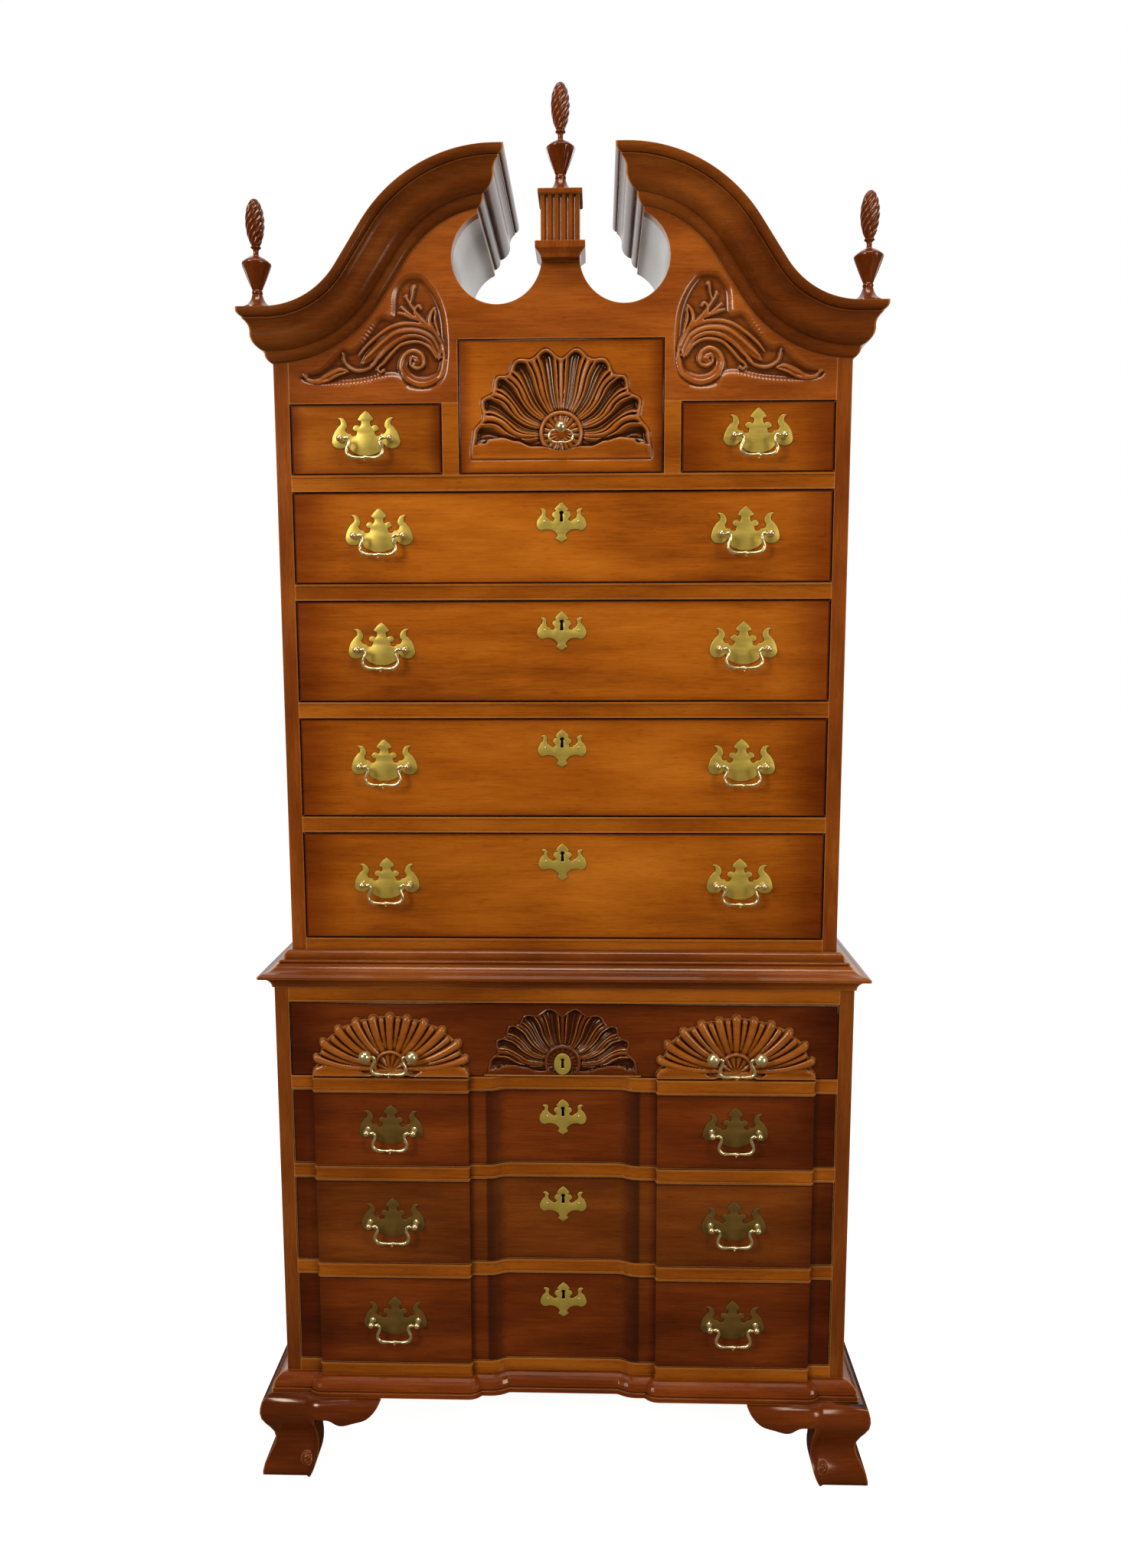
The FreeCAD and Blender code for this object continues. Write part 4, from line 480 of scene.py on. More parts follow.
# %% Fixed boards of the two cases
UPPER_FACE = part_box("upper_side_left")[0].y
LOWER_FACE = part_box("lower_side_left")[0].y
RAIL_DEEP = 0.060
FRONT_THICK = 0.022
BOARDS = {
    # node: (stain, grain, plank offset, tone)
    "upper_side_left": ("russet", "upright", (0.3, 1.1, 0.2), 1.0),
    "upper_side_right": ("russet", "upright", (2.3, 0.4, 1.2), 1.0),
    "lower_side_left": ("russet", "upright", (1.7, 2.1, 0.7), 0.8),
    "lower_side_right": ("russet", "upright", (0.9, 3.3, 2.2), 0.8),
    "upper_frame": ("amber", "along", (4.1, 0.0, 0.4), 0.86),
    "lower_frame": ("amber", "along", (3.0, 1.0, 1.4), 0.84),
    "swan_moulding_left": ("russet", "along", (6.1, 0.2, 0.3), 0.56),
    "swan_moulding_right": ("russet", "along", (5.2, 1.2, 1.9), 0.74),
    "plinth": ("russet", "upright", (0.2, 4.2, 0.5), 1.05),
    "waist_moulding": ("russet", "along", (7.2, 0.7, 3.1), 0.85),
    "base_moulding": ("red", "along", (0.8, 6.4, 4.0), 1.02),
    "foot_front_left": ("red", "along", (2.2, 6.7, 0.6), 0.8),
    "foot_front_right": ("red", "along", (5.7, 6.2, 1.6), 0.85),
    "feet_rear": ("red", "along", (4.4, 6.9, 2.6), 0.9),
}

POLISHED_TO = {"upper_frame": UPPER_FACE + RAIL_DEEP, "lower_frame": LOWER_FACE + RAIL_DEEP}
OPENING_HALF = {"lower_frame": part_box("drawer_shell")[1].x + MM}
# How light the edges of the feet and of the other boards get: wear and a painted highlight.
FOOT_RUBBED_HIGHLIGHT, BOARD_RUBBED_HIGHLIGHT = 0.25, 0.6

board_woods = {node: mahogany(f"mahogany_{node}", *look, plain_from=POLISHED_TO.get(node),
                              rubbed_highlight=FOOT_RUBBED_HIGHLIGHT if "foot" in node else BOARD_RUBBED_HIGHLIGHT,
                              dark_beyond=OPENING_HALF.get(node))
               for node, look in BOARDS.items()}
for node, wood in board_woods.items():
    dress(node, wood)
print("fixed boards:", len(BOARDS))

# %% Drawers
RECESS_HALF = 0.124
WAIST = 0.85
LONG_ENDS, SHORT_ENDS, LONG_FROM = 0.10, 0.03, 0.3
DRAWERS = {
    # node: (stain, plank offset, tone)
    "drawer_small_left": ("amber", (0.5, 7.5, 0.9), 0.82),
    "drawer_small_right": ("amber", (1.9, 7.2, 1.1), 0.95),
    "drawer_fan": ("amber", (3.3, 7.9, 2.1), 1.0),
    "drawer_upper_1": ("amber", (4.8, 8.3, 0.1), 1.05),
    "drawer_upper_2": ("amber", (0.1, 8.8, 1.3), 1.0),
    "drawer_upper_3": ("amber", (6.6, 9.1, 2.4), 0.98),
    "drawer_upper_4": ("amber", (2.9, 9.6, 3.5), 0.92),
    "drawer_shell": ("red", (1.1, 10.2, 0.8), 0.85),
    "drawer_block_1": ("red", (5.1, 10.7, 1.8), 0.95),
    "drawer_block_2": ("russet", (3.9, 11.3, 2.8), 0.72),
    "drawer_block_3": ("red", (0.7, 11.9, 3.8), 0.95),
}


def drawer_wood(node, carved=0.0, crests=0.5):
    """The finish of one drawer, its front polished, with glaze and painted shade at its borders, and its box
    plain.
    """
    stain, offset, tone = DRAWERS[node]
    low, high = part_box(node)
    face = UPPER_FACE if low.z > WAIST else LOWER_FACE
    return mahogany(f"mahogany_{node}", stain, "along", offset, tone, border=(low, high),
                    plain_from=face + FRONT_THICK, ends=LONG_ENDS if high.x > LONG_FROM else SHORT_ENDS,
                    carved=carved, crests=crests, recess=RECESS_HALF if "block" in node else None)


for node in DRAWERS:
    dress(node, drawer_wood(node))
print("drawers:", len(DRAWERS))

# %% [markdown]
# ## Carving
# The carver works down from a flat face: flutes, ridges and leaves are all depths below it. So each carving
# starts as a fine flat grid, and every point of the grid is pushed back by the depth that the carver's
# profile gives there. The sheet is then let into the flat board round it, as carved from the solid.

# %% Helpers for carved sheets
FACE_EDGE = 1e-6
STRAIGHT = -0.999
OWN_SHARE = 0.10
NEAR_RING, FAR_RING = 2, 5
ROUND_ABOUT = [(1, 0), (0, 1), (-1, 0), (0, -1), (1, 1), (-1, 1), (-1, -1), (1, -1)]


def mark_hollows(cells, layer, pitch):
    """Writes at each point how much deeper it lies than the points round it, with a little of its depth."""
    for (column, row), (vertex, own) in cells.items():
        lower = 0.0
        for reach in (round(NEAR_RING / pitch), round(FAR_RING / pitch)):
            near = [cells.get((column + a * reach, row + b * reach), (None, own))[1] for a, b in ROUND_ABOUT]
            lower += (own - sum(near) / len(near)) / 2
        vertex[layer] = lower + OWN_SHARE * max(own, 0.0)


def carved_sheet(low, high, pitch, face, depth):
    """A grid over x and z, in millimetres, whose points stand depth(x, z) behind the face."""
    columns = round((high[0] - low[0]) / pitch)
    rows = round((high[1] - low[1]) / pitch)
    sheet = bmesh.new()
    bmesh.ops.create_grid(sheet, x_segments=columns, y_segments=rows, size=0.5)
    layer = sheet.verts.layers.float.new("hollow")
    cells = {}
    for vertex in sheet.verts:
        across, up = vertex.co.x + 0.5, vertex.co.y + 0.5
        x = low[0] + across * (high[0] - low[0])
        z = low[1] + up * (high[1] - low[1])
        cut = depth(x, z)
        cells[round(across * columns), round(up * rows)] = (vertex, cut)
        vertex.co = (x * MM, face + cut * MM, z * MM)
    mark_hollows(cells, layer, pitch)
    return sheet


def join_shapes(target, source):
    """Adds one bmesh to another and frees it."""
    passing = bpy.data.meshes.new("passing")
    source.to_mesh(passing)
    source.free()
    target.from_mesh(passing)
    bpy.data.meshes.remove(passing)


def rims_of(shape):
    """The edges round the openings of a bmesh."""
    return [edge for edge in shape.edges if edge.is_boundary]


def let_in(board, sheets):
    """Lets carved sheets into a board whose front face has been taken off."""
    board.verts.layers.float.new("hollow")
    for sheet in sheets:
        join_shapes(board, sheet)
    bmesh.ops.remove_doubles(board, verts=board.verts, dist=FACE_EDGE)
    bmesh.ops.triangle_fill(board, use_beauty=True, edges=rims_of(board), normal=(0, -1, 0))
    bmesh.ops.recalc_face_normals(board, faces=board.faces)
    return board


def finish_piece(name, shape, finish, body, stands_for=(), angle=38, flat_front=False):
    """Makes a bmesh a piece of the scene: smooth but for its sharp edges, with its finish or finishes.

    flat_front leaves the faces that look straight forward flat, as on a sheet of metal with rounded rims.
    """
    mesh = bpy.data.meshes.new(name)
    shape.to_mesh(mesh)
    shape.free()
    mesh.polygons.foreach_set("use_smooth", [not flat_front or part.normal.y > STRAIGHT
                                             for part in mesh.polygons])
    mesh.set_sharp_from_angle(angle=math.radians(angle))
    for material in finish if isinstance(finish, list) else [finish]:
        mesh.materials.append(material)
    made = bpy.data.objects.new(name, mesh)
    bpy.context.scene.collection.objects.link(made)
    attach(made, body)
    if stands_for:
        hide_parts(*stands_for)
    return made


def step_between(low, high, value):
    """0 below low, 1 above high and an even curve between."""
    share = min(1.0, max(0.0, (value - low) / (high - low)))
    return share * share * (3 - 2 * share)


def read_table(table, value):
    """A value read from (place, value) pairs, with an even curve between two of them."""
    if value <= table[0][0]:
        return table[0][1]
    for (near, first), (far, second) in zip(table, table[1:]):
        if value <= far:
            return first + (second - first) * step_between(near, far, value)
    return table[-1][1]


# %% Helpers for boards
def merged_copy(node):
    """A CAD node's mesh with its loose triangles joined."""
    shape = bmesh.new()
    shape.from_mesh(nodes[node].data)
    bmesh.ops.remove_doubles(shape, verts=shape.verts, dist=FACE_EDGE)
    return shape


def plain_copy(node):
    """The same with the triangles of a flat face joined as well."""
    shape = merged_copy(node)
    bmesh.ops.dissolve_limit(shape, angle_limit=math.radians(0.5), verts=shape.verts, edges=shape.edges)
    return shape


def round_over(shape, edges, radius, segments=2, **settings):
    """Rounds some edges of a bmesh."""
    bmesh.ops.bevel(shape, geom=edges, offset=radius, affect="EDGES", segments=segments, profile=0.5,
                    material=-1, **settings)


def open_front(shape, face):
    """Takes off the faces that lie in a front plane."""
    front = [part for part in shape.faces if part.calc_center_median().y < face + FACE_EDGE]
    bmesh.ops.delete(shape, geom=front, context="FACES_ONLY")


def add_ball(shape, middle, radius, depth=1.0):
    """Adds a small ball, flattened along y by its depth."""
    ball = bmesh.new()
    bmesh.ops.create_uvsphere(ball, u_segments=12, v_segments=8, radius=radius)
    bmesh.ops.scale(ball, vec=(1, depth, 1), verts=ball.verts)
    bmesh.ops.translate(ball, vec=middle, verts=ball.verts)
    join_shapes(shape, ball)


def solids_of(shape):
    """The separate closed shells of a bmesh, each as a set of faces."""
    left = set(shape.faces)
    found = []
    while left:
        shell, edge_on = set(), [left.pop()]
        while edge_on:
            face = edge_on.pop()
            shell.add(face)
            for edge in face.edges:
                for other in edge.link_faces:
                    if other in left:
                        left.discard(other)
                        edge_on.append(other)
        found.append(shell)
    return found


def eased_board(low, high, ease):
    """A board between two corners, in metres, its front edges eased and its front face left off."""
    board = bmesh.new()
    bmesh.ops.create_cube(board, size=1)
    middle, size = (low + high) / 2, high - low
    bmesh.ops.scale(board, vec=size, verts=board.verts)
    bmesh.ops.translate(board, vec=middle, verts=board.verts)
    front = [edge for edge in board.edges if all(v.co.y < low.y + FACE_EDGE for v in edge.verts)]
    round_over(board, front, ease)
    open_front(board, low.y)
    return board


# %% [markdown]
# ## Hollow shells
# The big fan and the hollow shell below are one pattern in two sizes. Wide hollow flutes run from a ring to
# a scalloped rim, with a sharp ridge at each side of a flute and a round rib between two. Under them lie two
# smooth waves, and inside the ring is a small fan. The pattern is worked out once, in the fan's own
# millimetres from the ring's middle, and is squeezed for the shell.

# %% The fan's outline and waves
SCALLOPS = [(-15, 140.0), (0, 132.0), (11, 119.5), (22, 128.3), (29.8, 118.2), (40.2, 126.0), (46.7, 116.2),
            (57.6, 125.2), (67.8, 116.0), (78.8, 124.0), (90, 107.5)]
DIPS = [-15, 11, 29.8, 46.7, 67.8, 90]
WAVES = [(0, -25.0), (30, -18.5), (46, -18.5), (69, -10.5), (91, -5.5), (108, -7.0), (124, -13.0),
         (138, -19.0)]
FAN_FLOOR = -35.0
RING_IN, RING_OUT = 27.5, 34.0

# %% Depths of its flutes, ring, rim and waves
FLARE, SWAY = 0.20, 3.0
CREST_DEEP, CREST_DROP = 0.5, 1.4
FLUTE_DEEP, FLUTE_MORE = 3.2, 6.3
RIDGE_PLACE, RIDGE_WIDE = -0.06, 0.085
HOLLOW_TO, VALLEY_TO, VALLEY_SHARE = 0.60, 0.72, 0.55
RING_DEEP, RING_SIDES, RING_HALF = 0.5, 2.6, 3.2
SMALL_FAN_DEEP, SMALL_FAN_RISE, SMALL_FAN_RAYS = 4.2, 1.8, 9
LIP_FROM, LIP_TO, LIP_DEEP, FULL_FROM = -6.0, -1.6, 1.7, 5.5
WAVE_DEEP, WAVE_ROLL, WAVE_WIDE = 1.4, 3.4, 3.2
DIMPLE_X, DIMPLE_Z, DIMPLE_R, DIMPLE_DEEP = 119, -10, 5.0, 7.5
FURROW_DEEP, FURROW_WIDE = 1.6, 2.4
BASE_DEEP, BASE_FROM = 6.6, 30


def flute_depth(angle, share):
    """Depth of the flutes at an angle, at a share of the way from the ring to the rim."""
    spread = 90 - (90 - angle) / (1 + FLARE * (1 - share) ** 1.5)
    spread += SWAY * math.sin(2 * math.pi * share) * math.cos(math.radians(spread))
    spread = min(DIPS[-1] - 0.01, max(DIPS[0] + 0.01, spread))
    lane = next(i for i in range(len(DIPS) - 1) if DIPS[i] <= spread <= DIPS[i + 1])
    near, far = DIPS[lane], DIPS[lane + 1]
    across = 2 * (spread - near) / (far - near) - 1
    aside = abs(across)
    crest = CREST_DEEP + CREST_DROP * (1 - share)
    deep = crest + FLUTE_DEEP + FLUTE_MORE * share ** 0.8
    if aside < HOLLOW_TO:
        depth = crest + (deep - crest) * (1 - (aside / HOLLOW_TO) ** 2)
        ridge = math.exp(-((across - RIDGE_PLACE) / RIDGE_WIDE) ** 2)
        return depth - ridge * (deep - crest) * 0.5 * (1 - share) ** 0.6
    valley = crest + VALLEY_SHARE * (deep - crest)
    if aside < VALLEY_TO:
        return crest + (valley - crest) * step_between(HOLLOW_TO, VALLEY_TO, aside)
    return crest + (valley - crest) * ((1 - aside) / (1 - VALLEY_TO)) ** 2


def ring_depth(radius, angle):
    """Depth of the ring and of the small fan inside it."""
    if radius > RING_IN:
        return RING_DEEP + RING_SIDES * ((radius - (RING_IN + RING_OUT) / 2) / RING_HALF) ** 2
    swing = abs(math.sin(math.radians(angle) * SMALL_FAN_RAYS)) * step_between(4, 14, radius)
    return SMALL_FAN_DEEP - SMALL_FAN_RISE * swing + 0.5 * step_between(20, 27, radius)


def hollow_shell(x, z, wide=1.0, tall=1.0, most=1.0):
    """Depth of the carving below the face at a point from the ring's middle."""
    across, up = abs(x) / wide, z / tall
    radius, ring = math.hypot(across, up), math.hypot(x, z) / wide
    angle = math.degrees(math.atan2(up, across))
    edge = read_table(SCALLOPS, angle)
    inside = min(edge - radius, (up - FAN_FLOOR) * 0.8)
    if inside < LIP_FROM:
        return 0.0
    if inside < LIP_TO:
        return LIP_DEEP * most * math.sin(math.pi * (inside - LIP_FROM) / (LIP_TO - LIP_FROM)) ** 2
    wave = read_table(WAVES, across)
    if up < wave and radius > 8:
        depth = WAVE_DEEP + WAVE_ROLL * (1 - min(1.0, (wave - up) / WAVE_WIDE)) ** 2
        if math.hypot(across - DIMPLE_X, up - DIMPLE_Z) < DIMPLE_R:
            depth = DIMPLE_DEEP
    elif ring < RING_OUT:
        depth = ring_depth(ring, angle)
    else:
        share = min(1.0, max(0.0, (radius - RING_OUT) / (edge - RING_OUT)))
        depth = flute_depth(angle, share)
        depth += FURROW_DEEP * math.exp(-((ring - RING_OUT) / FURROW_WIDE) ** 2)
        if up - wave < 5 and across > BASE_FROM:
            depth = max(depth, BASE_DEEP - 0.5 * (up - wave))
    return most * depth * step_between(LIP_TO, FULL_FROM, inside)


print("depth of the fan beside its ring:", round(hollow_shell(0, 60), 2), "mm")

# %% Helpers for carved drawers
GAP = 1.2
EASE = 1.5 * MM
SHELL_PITCH = 0.95


def board_in(opening, face):
    """The eased front board that fills an opening but for its gap."""
    (left, bottom), (right, top) = opening
    return eased_board(Vector(((left + GAP) * MM, face, (bottom + GAP) * MM)),
                       Vector(((right - GAP) * MM, face + FRONT_THICK, (top - GAP) * MM)), EASE)


def box_behind(node, face):
    """The plain boards of a drawer, copied from the frame without its front."""
    shape = merged_copy(node)
    front = [shell for shell in solids_of(shape)
             if min(v.co.y for part in shell for v in part.verts) < face + FRONT_THICK - MM]
    bmesh.ops.delete(shape, geom=[part for shell in front for part in shell], context="FACES")
    return shape


def carved_drawer(stem, face, opening, sheet, depth, **look):
    """A drawer with its front carved from the solid and its plain box behind."""
    front = let_in(board_in(opening, face), [carved_sheet(*sheet, SHELL_PITCH, face, depth)])
    join_shapes(front, box_behind(f"drawer_{stem}", face))
    made = finish_piece(f"{stem}_drawer", front, drawer_wood(f"drawer_{stem}", **look), f"{stem}_drawer",
                        [f"drawer_{stem}"])
    print(stem, "drawer:", len(made.data.polygons), "faces")


# %% Fan drawer
FAN_OPENING = ((-158.25, 1646.5), (158.25, 1848.0))
FAN_SHEET = ((-147, 1666), (147, 1840))
FAN_RING = 1708.0


def fan_cut(x, z):
    """Depth of the fan in the drawer's own place."""
    return hollow_shell(x, z - FAN_RING)


carved_drawer("fan", UPPER_FACE, FAN_OPENING, FAN_SHEET, fan_cut, carved=0.95)

# %% [markdown]
# ## Raised shells
# Over each block a separate shell is carved and glued on. It stands out, so its rays are rounded rods of wood
# that widen to round tips, with thinner ribs in the furrows between them. They spring from a half-round eye
# with an arch round it, and two smooth lobes sweep out along the bottom. Each rod is a line with a width, and
# the height at a point is that of the rod which passes over it.

# %% Height of a raised shell
EYE_HEIGHT = 17.0
EYE_RADIUS, ARCH = 22.0, 5.0
ARCH_LOW, ARCH_RISE = 8.6, 2.6
EYE_LOW, EYE_RISE, EYE_RAYS, EYE_BELOW = 4.4, 2.6, 7, 8
BEND = 15.0
SUNK = -1.2
SWELL_LOW, SWELL_RISE, SWELL_FALL = 5.0, 3.4, 1.2
BETWEEN_RODS, ROD_RISE = 2.4, 0.85
LOBE_LOW, LOBE_ROLL, LOBE_EDGE = 3.4, 7.0, 6.0
LOWEST_TURN, EYE_FLOOR = -9, -9
RAYS = [(6, 127.5), (19.5, 122.0), (35.5, 109.5), (52.5, 97.0), (70.5, 88.8), (90, 87.5)]
LOBE = [(28, 1.0), (36, 4.0), (54, 12.0), (74, 18.0), (90, 20.2), (110, 19.6), (121, 16.0), (126.5, 10.0),
        (128, 4.0)]
# two widths and the sinking of a rod, and how far short of its ray it ends
MAIN_ROD, MAIN_SHORT = (3.0, 6.8, 1.0), 6.6
THIN_ROD, THIN_SHORT, THIN_REACH = (1.8, 4.6, 2.0), 4.6, 0.465


def rods_of(rays):
    """Main rods along the rays and thinner ones between: angle, reach, two widths and sinking of each."""
    rods = [(angle, reach - MAIN_SHORT, *MAIN_ROD) for angle, reach in rays]
    for (angle, reach), (after, reach_after) in zip(rays, rays[1:]):
        rods.append(((angle + after) / 2, THIN_REACH * (reach + reach_after) - THIN_SHORT, *THIN_ROD))
    return rods


RODS = rods_of(RAYS)


def swell(share):
    """Height of the shell's ground from the eye to the tips."""
    return SWELL_LOW + SWELL_RISE * math.sin(math.pi * share ** 0.9) - SWELL_FALL * share


def rod(along, aside, end, near, far):
    """Height of a round-ended rod over its own line, or less than 0 beside it."""
    here = min(end, max(EYE_RADIUS, along))
    width = near + (far - near) * (here - EYE_RADIUS) / (end - EYE_RADIUS)
    away = math.hypot(along - here, aside) / width
    return width * math.sqrt(1 - away * away) if away < 1 else -1.0


def eye_height(radius, across, up):
    """Height of the arch round the eye and of the small fan inside it."""
    if radius > EYE_RADIUS:
        return ARCH_LOW + ARCH_RISE * math.sqrt(1 - ((radius - EYE_RADIUS) / ARCH * 2 - 1) ** 2)
    swing = math.atan2(up + EYE_BELOW, across)
    fan = abs(math.cos(swing * EYE_RAYS)) * step_between(5, 12, math.hypot(across, up + EYE_BELOW))
    return EYE_LOW + EYE_RISE * fan


def raised_shell(x, z):
    """Height over the drawer's face, or a little below it outside the shell."""
    across, up = abs(x), z - EYE_HEIGHT
    if z < 0:
        return SUNK
    radius = math.hypot(across, up)
    angle = math.degrees(math.atan2(up, across))
    best = SUNK
    share = min(1.0, max(0.0, (radius - EYE_RADIUS) / (read_table(RAYS, angle) - EYE_RADIUS)))
    turned = angle + BEND * (1 - share) * math.cos(math.radians(angle))
    if turned > LOWEST_TURN:
        if share < 0.90:
            best = swell(share) - BETWEEN_RODS
        for line, end, near, far, sunk in RODS:
            off = math.radians(turned - line)
            lift = rod(radius * math.cos(off), radius * math.sin(off), end, near, far)
            if lift >= 0:
                best = max(best, swell(share) + ROD_RISE * lift - sunk)
    lobe = read_table(LOBE, across)
    if z < lobe and across < LOBE[-1][0]:
        rise = min(1.0, (lobe - z) / LOBE_EDGE)
        best = max(best, LOBE_LOW + LOBE_ROLL * math.sqrt(rise * (2 - rise)))
    if radius < EYE_RADIUS + ARCH and up > EYE_FLOOR:
        best = eye_height(radius, across, up)
    return best


# %% Shell drawer
SHELL_OPENING = ((-444.5, 686.0), (444.5, 811.0))
SHELL_SHEET = ((-130, 687.6), (130, 803))
SHELL_RING = 709.5
SHELL_SQUEEZE = {"wide": 0.885, "tall": 0.735, "most": 0.85}


def shell_cut(x, z):
    """Depth of the hollow shell in the drawer's own place."""
    return hollow_shell(x, z - SHELL_RING, **SHELL_SQUEEZE)


carved_drawer("shell", LOWER_FACE, SHELL_OPENING, SHELL_SHEET, shell_cut, carved=0.8, crests=0.12)

# %% Raised shells on the drawer
BLOCK_MIDDLE = 280.0
SHELL_FOOT = 688.0
SHELL_HALF, SHELL_TALL = 130, 112


def applied_shell(middle):
    """A raised shell over a block, closed behind and bedded a little into the drawer's face."""
    def outward(x, z):
        return -raised_shell(x - middle, z - SHELL_FOOT)

    low, high = (middle - SHELL_HALF, SHELL_FOOT - 2), (middle + SHELL_HALF, SHELL_FOOT + SHELL_TALL)
    shape = carved_sheet(low, high, SHELL_PITCH, LOWER_FACE, outward)
    buried = [face for face in shape.faces if all(v.co.y > LOWER_FACE + MM for v in face.verts)]
    bmesh.ops.delete(shape, geom=buried, context="FACES")
    bmesh.ops.holes_fill(shape, edges=rims_of(shape))
    bmesh.ops.recalc_face_normals(shape, faces=shape.faces)
    return shape


raised_wood = mahogany("mahogany_raised_shells", "amber", "along", (2.4, 5.3, 3.3), 0.78, glaze=1.0,
                       reach=0.006, carved=0.75, crests=0.25)
for word, side in SIDES.items():
    made = finish_piece(f"raised_shell_{word}", applied_shell(side * BLOCK_MIDDLE), raised_wood,
                        "shell_drawer")
print("raised shell:", len(made.data.polygons), "faces")

# %% [markdown]
# ## Scroll board
# Between the crown and the small drawers the board is carved on each side with a spray of leaves that curls
# into a scroll. The carver first sinks a smooth ground and leaves the leaves standing in it. Here each leaf
# rib is a smooth line with a width at each of its marks, and the height at a point is that of the nearest
# rib. The left carving is worked out, and the right one is its mirror image.

# %% Ribs of the foliage
RIBS = [
    # (x, z, half width) marks along each rib, left-hand side
    [(-179.4, 1815, 4.6), (-186, 1794, 4.4), (-210, 1781.6, 4.2), (-234, 1788, 4), (-246.5, 1807, 3.8),
     (-241, 1825, 3.6), (-226, 1833, 3.4), (-212.5, 1825, 3.2), (-211, 1812, 3), (-221, 1806, 2.8),
     (-231, 1812, 2.6), (-228.5, 1822, 2.8), (-222.5, 1819, 4)],
    [(-179.5, 1812, 3.2), (-181, 1838, 3), (-193, 1858.5, 3.2), (-213, 1869.5, 3.4), (-237.5, 1872.5, 3.4),
     (-261, 1867, 3.4), (-280, 1855, 3.2), (-297.5, 1840.5, 3), (-309, 1827, 1.6)],
    [(-184, 1822, 2.6), (-194, 1847, 3), (-212.5, 1859, 3.4), (-234, 1862, 3.6), (-254, 1858.5, 3.6),
     (-272, 1846, 3.4), (-290.5, 1830, 3), (-302, 1820, 1.6)],
    [(-187, 1820, 2.4), (-198, 1840.5, 3), (-214, 1851.5, 3.2), (-232, 1853.5, 3.4), (-248.5, 1848, 3.6),
     (-265, 1837, 3.6), (-279.5, 1822.5, 3.2), (-291, 1812, 1.8)],
    [(-190.5, 1822, 2.2), (-201.5, 1837, 2.6), (-216, 1845, 2.8), (-232, 1845, 3), (-246.5, 1840.5, 3),
     (-259, 1829.5, 3), (-272, 1815, 2.8), (-279, 1809.5, 2.6), (-281.5, 1804.5, 2.6), (-277, 1801, 2.6),
     (-273.5, 1803.5, 3.2)],
    [(-334.5, 1829, 1.8), (-332, 1817, 2.6), (-325, 1808, 3), (-312, 1803.5, 3.2), (-297.5, 1806, 3),
     (-286.5, 1813, 2.4), (-281, 1820.5, 1.6)],
    [(-328.5, 1802.5, 1.6), (-340, 1806, 3.4), (-356, 1799, 4.4), (-369, 1791.5, 4), (-381, 1788, 3.4),
     (-391, 1792.5, 2.8), (-395, 1797.5, 2.2)],
    [(-331, 1801, 1.4), (-345, 1796.5, 2.4), (-359, 1789.5, 2.6), (-374, 1786.5, 2)],
    [(-183, 1842.5, 2.4), (-192, 1857, 3), (-203, 1868, 3.2), (-214, 1879, 3), (-225, 1893.5, 2.6),
     (-233, 1906, 2.4), (-236, 1912.5, 3)],
    [(-199, 1862.5, 2.4), (-214, 1875, 2.8), (-226.5, 1880.5, 3), (-239, 1886, 3), (-248, 1888, 2.2)],
    [(-219, 1877, 2.2), (-231, 1886, 2.8), (-240, 1893, 2.8), (-243.5, 1896.5, 2.4)],
    [(-230, 1901, 1.4), (-226, 1914, 1.6), (-225, 1921, 2.2), (-223.5, 1926, 3.8)],
    [(-208.5, 1868, 2.2), (-221, 1882.5, 2.6), (-222.5, 1893, 2.6), (-217.5, 1898, 2.6),
     (-214, 1894.5, 2.8)],
    [(-188.5, 1853.5, 2.2), (-195.5, 1864, 3.4), (-201, 1875, 3.8), (-198, 1887.5, 3.2), (-193, 1893.5, 3)],
    [(-186, 1855, 1.6), (-190.5, 1868, 2.2), (-192.5, 1880, 2.2), (-191, 1890, 1.8)],
]
GROUND = [(-263, 1888), (-259, 1921), (-239, 1944), (-212, 1946), (-194, 1930), (-181, 1908), (-173.5, 1884),
          (-170.5, 1853), (-170.5, 1821), (-177, 1790), (-199, 1771.5), (-236, 1772.5), (-257, 1791),
          (-308, 1782.5), (-363, 1779), (-396, 1783), (-404, 1796), (-370, 1812), (-339, 1838.5),
          (-316, 1842.5), (-283, 1884)]
BODIES = [
    # (x, z, half width) marks along the swelling middle of each leaf and of the scroll
    [(-182.5, 1830, 4), (-193, 1845, 8), (-212, 1858, 11.5), (-236, 1860, 13.5), (-259, 1852, 13.5),
     (-279, 1836, 11), (-296, 1822, 7), (-304, 1815, 3)],
    [(-180, 1815, 4.5), (-186, 1797, 6), (-208, 1787, 7), (-230, 1791, 7), (-242, 1808, 7), (-237, 1824, 7),
     (-224, 1829, 7), (-216.5, 1820, 7), (-222, 1814, 7)],
    [(-329, 1805, 2), (-342, 1802, 5.5), (-358, 1795, 7), (-372, 1789.5, 6), (-388, 1790.5, 4)],
]
BODY_RISE, RIB_RISE, LONE_RISE = 3.2, 2.3, 4.6
GROUND_DEEP, MOST_PROUD = 6.0, 0.2
SLOPE = 13.0
RIB_STEPS, GROUND_STEPS = 14, 10


